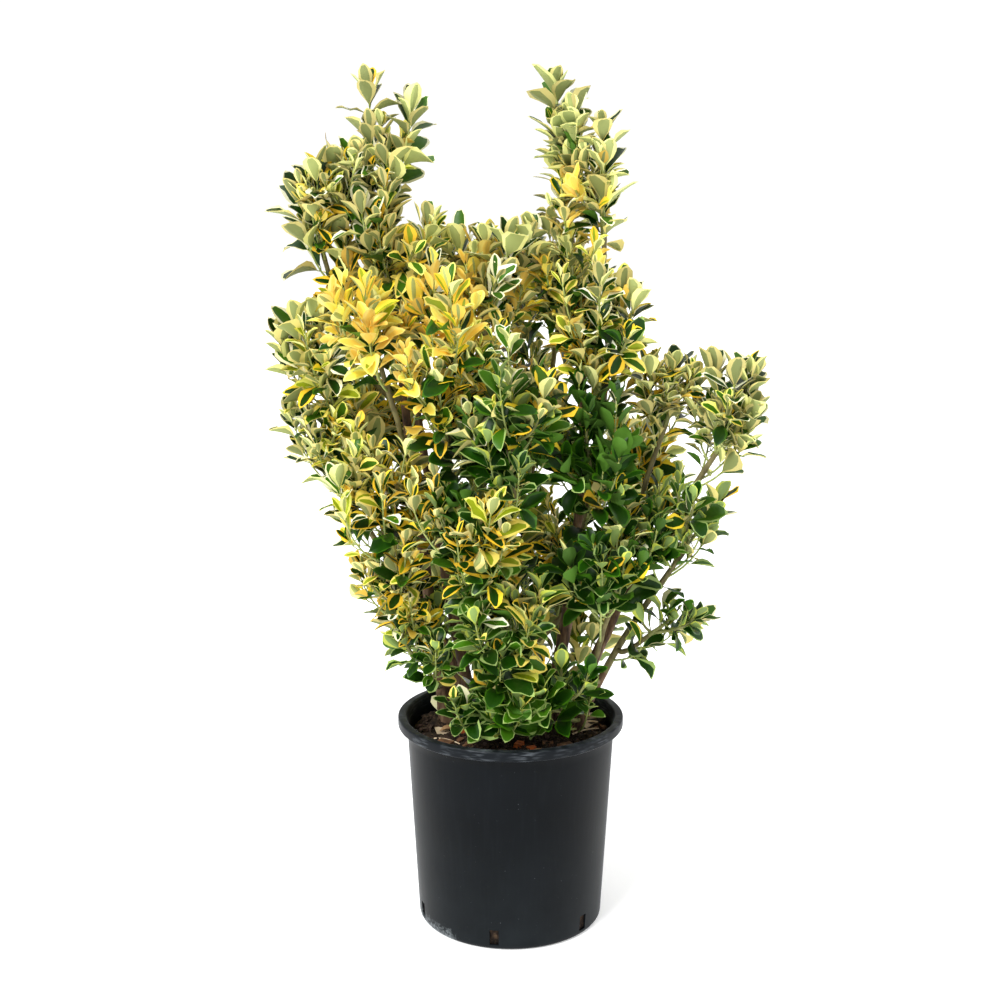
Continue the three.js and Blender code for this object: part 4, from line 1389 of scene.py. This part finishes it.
def make_chips():
    """Bark chips and crumbs strewn over the soil, each a small uneven block."""
    draw = np.random.default_rng(CHIP_SEED)
    shape = Shape()
    kinds = ("wood_chip", "dark_chip", "dark_chip", "potting_soil", "potting_soil", "potting_soil")
    for _ in range(CHIP_COUNT):
        across = CHIPS_REACH * math.sqrt(draw.uniform())
        angle = draw.uniform(0, 2 * np.pi)
        size = SMALLEST_CHIP + CHIP_GROWTH * draw.uniform() ** 3
        half = size * np.array([draw.uniform(*shares) for shares in CHIP_SIDES])
        corners = uneven_block(half, draw)
        turn, tilt = draw.uniform(0, 2 * np.pi), draw.normal(0, CHIP_TILT)
        c, s = math.cos(tilt), math.sin(tilt)
        corners = turned(corners @ np.array([[c, 0, s], [0, 1, 0], [-s, 0, c]]), turn)
        drop = SOIL_EDGE_DROP * max(0, across - LEVEL_REACH) / SOIL_EDGE_WIDTH
        place = (across * math.cos(angle), across * math.sin(angle), SOIL_TOP + half[2] * CHIP_LIFT - drop)
        shape.add(corners + place, [(CUBE_FACES, PAINT[kinds[draw.integers(len(kinds))]])])
    piece = shape.make("soil_chips", "soil")
    piece.data.shade_flat()


# Dead leaves on the soil: root, turn and lift of the blade in degrees, length, arch, colour
DEAD_LEAVES = (
    ((98, -12), 66, 14, 42, 70, "dry_pale"),
    ((104, 22), 100, 22, 36, 110, "dry_pale"),
    ((-104, 2), -50, 12, 42, 80, "dry_pale"),
    ((-98, -18), 20, 20, 30, 60, "dry"),
    ((-96, 46), 95, 45, 40, 40, "cream"),
    ((56, -96), 160, 8, 32, 50, "dry"),
)
# Curled dry roots and broken twigs: start, middle and end over the soil, radius, material
STICKS = (
    ((78, -14, 3), (96, 6, 14), (118, 18, 4), 1.8, "dry_root"),
    ((82, -26, 3), (100, -20, 9), (118, -4, 3), 1.4, "dry_root"),
    ((92, 10, 3), (106, 32, 16), (118, 38, 5), 1.6, "dry_root"),
    ((86, 82, 2), (100, 84, 8), (110, 54, 12), 1.8, "green_stick"),
    ((78, 88, 2), (92, 86, 10), (102, 72, 14), 1.5, "green_stick"),
    ((70, 84, 2), (86, 90, 12), (94, 72, 16), 1.2, "green_stick"),
    ((-100, -40, 2), (-84, -52, 8), (-66, -60, 2), 1.3, "dry_root"),
)
# Large pieces of bark: place, half length, half width, half thickness, turn in degrees, material
BARK_PIECES = (
    ((102, 46), 17, 7, 2.4, 14, "dry_root"),
    ((-54, 4), 9, 5, 3, 40, "orange_chip"),
    ((-62, -10), 7, 4, 3, 100, "orange_chip"),
    ((11, -64), 8, 5, 3, 70, "orange_chip"),
    ((26, -78), 6, 4, 3, 20, "orange_chip"),
    ((-84, -58), 10, 6, 3, 150, "wood_chip"),
    ((70, -70), 11, 6, 3, 30, "wood_chip"),
)
LITTER_HEIGHT = 2
DRY_CENTRE = 0.6
STICK_TAPER = 0.6
STICK_STEPS = 8
STICK_SIDES = 6
LITTER_SHARP = math.radians(50)


def make_litter():
    draw = np.random.default_rng(LITTER_SEED)
    shape = Shape()
    places, turn_angles, lifts, lengths, arches, colours = zip(*DEAD_LEAVES)
    headings, uppers = [], []
    for turn, lift in zip(np.radians(turn_angles), np.radians(lifts)):
        rise, ahead = math.sin(lift), math.cos(lift)
        headings.append(turned((ahead, 0, rise), turn))
        uppers.append(turned((-rise, 0, ahead), turn))
    leaves = dict(
        root=np.array([(*place, SOIL_TOP + LITTER_HEIGHT) for place in places], float),
        heading=np.array(headings),
        upper=np.array(uppers),
        arch=np.array(arches, float),
        broad=np.ones(len(places)),
    )
    looks = np.array([[PAINT[f"leaf_{colour}_0"]] * 4 for colour in colours])
    add_blades(shape, leaves, np.array(lengths, float), np.full(len(places), DRY_CENTRE), looks, draw)
    for *points, radius, kind in STICKS:
        stick = Limb(np.array(points) + (0, 0, SOIL_TOP), (radius, radius * STICK_TAPER))
        along = np.linspace(0, 1, STICK_STEPS + 1)
        add_tube(shape, stick.at(along), stick.radius(along), STICK_SIDES, PAINT[kind])
    for place, *half, turn, kind in BARK_PIECES:
        corners = turned(uneven_block(half, draw), math.radians(turn))
        shape.add(corners + (*place, SOIL_TOP + half[2]), [(CUBE_FACES, PAINT[kind])])
    piece = shape.make("soil_litter", "soil")
    piece.data.set_sharp_from_angle(angle=LITTER_SHARP)


make_soil()
make_chips()
make_litter()


# Stage

SKY_STRENGTH = 0.92
BACKDROP_STRENGTH = 1.06
KEY_STRENGTH = 3.1
KEY_SOFTNESS = 26
KEY_HEIGHT = 42
KEY_TURN = -40
FLOOR_SIZE = 30
FLOOR_DROP = 0.5
FLOOR_COLOUR = (0.95, 0.95, 0.95, 1)
FLOOR_GLOW = 0.35


def make_world():
    """A white backdrop, and a dimmer even light from all round."""
    world = bpy.data.worlds.new("studio")
    bpy.context.scene.world = world
    world.use_nodes = True
    tree = world.node_tree
    light = tree.nodes["Background"]
    white = linear(*WHITE)
    fill(light, {"Color": white, "Strength": SKY_STRENGTH})
    inputs = {"Color": white, "Strength": BACKDROP_STRENGTH}
    backdrop = add_node(tree, "ShaderNodeBackground", inputs, "Background")
    is_backdrop = add_node(tree, "ShaderNodeLightPath", {}, "Is Camera Ray")
    inputs = {"Fac": is_backdrop, 1: light.outputs["Background"], 2: backdrop}
    chosen = add_node(tree, "ShaderNodeMixShader", inputs, "Shader")
    fill(tree.nodes["World Output"], {"Surface": chosen})


def make_stage():
    bpy.ops.mesh.primitive_plane_add(size=FLOOR_SIZE, location=(0, 0, -FLOOR_DROP * MM))
    floor = bpy.context.object
    floor.name = "floor"
    material, _, shader = new_material("floor_white", roughness=0.9, specular=0.1)
    glow = {"Emission Color": linear(*WHITE), "Emission Strength": FLOOR_GLOW}
    fill(shader, {"Base Color": FLOOR_COLOUR, **glow})
    floor.data.materials.append(material)
    make_world()
    key = bpy.data.lights.new("key_light", "SUN")
    key.energy = KEY_STRENGTH
    key.angle = math.radians(KEY_SOFTNESS)
    lamp = add_object("key_light", key)
    lamp.rotation_euler = (math.radians(90 - KEY_HEIGHT), 0, math.radians(KEY_TURN))
    camera = bpy.data.cameras.new("camera")
    camera.sensor_width = SENSOR_WIDTH
    camera.lens = SENSOR_WIDTH * FOCAL_PIXELS / PHOTO_WIDTH
    viewer = add_object("camera", camera)
    viewer.location = [value * MM for value in CAMERA_PLACE]
    viewer.rotation_euler = (math.radians(90 - CAMERA_PITCH), 0, 0)
    bpy.context.scene.camera = viewer
    bpy.context.scene.view_settings.view_transform = "Standard"


make_stage()
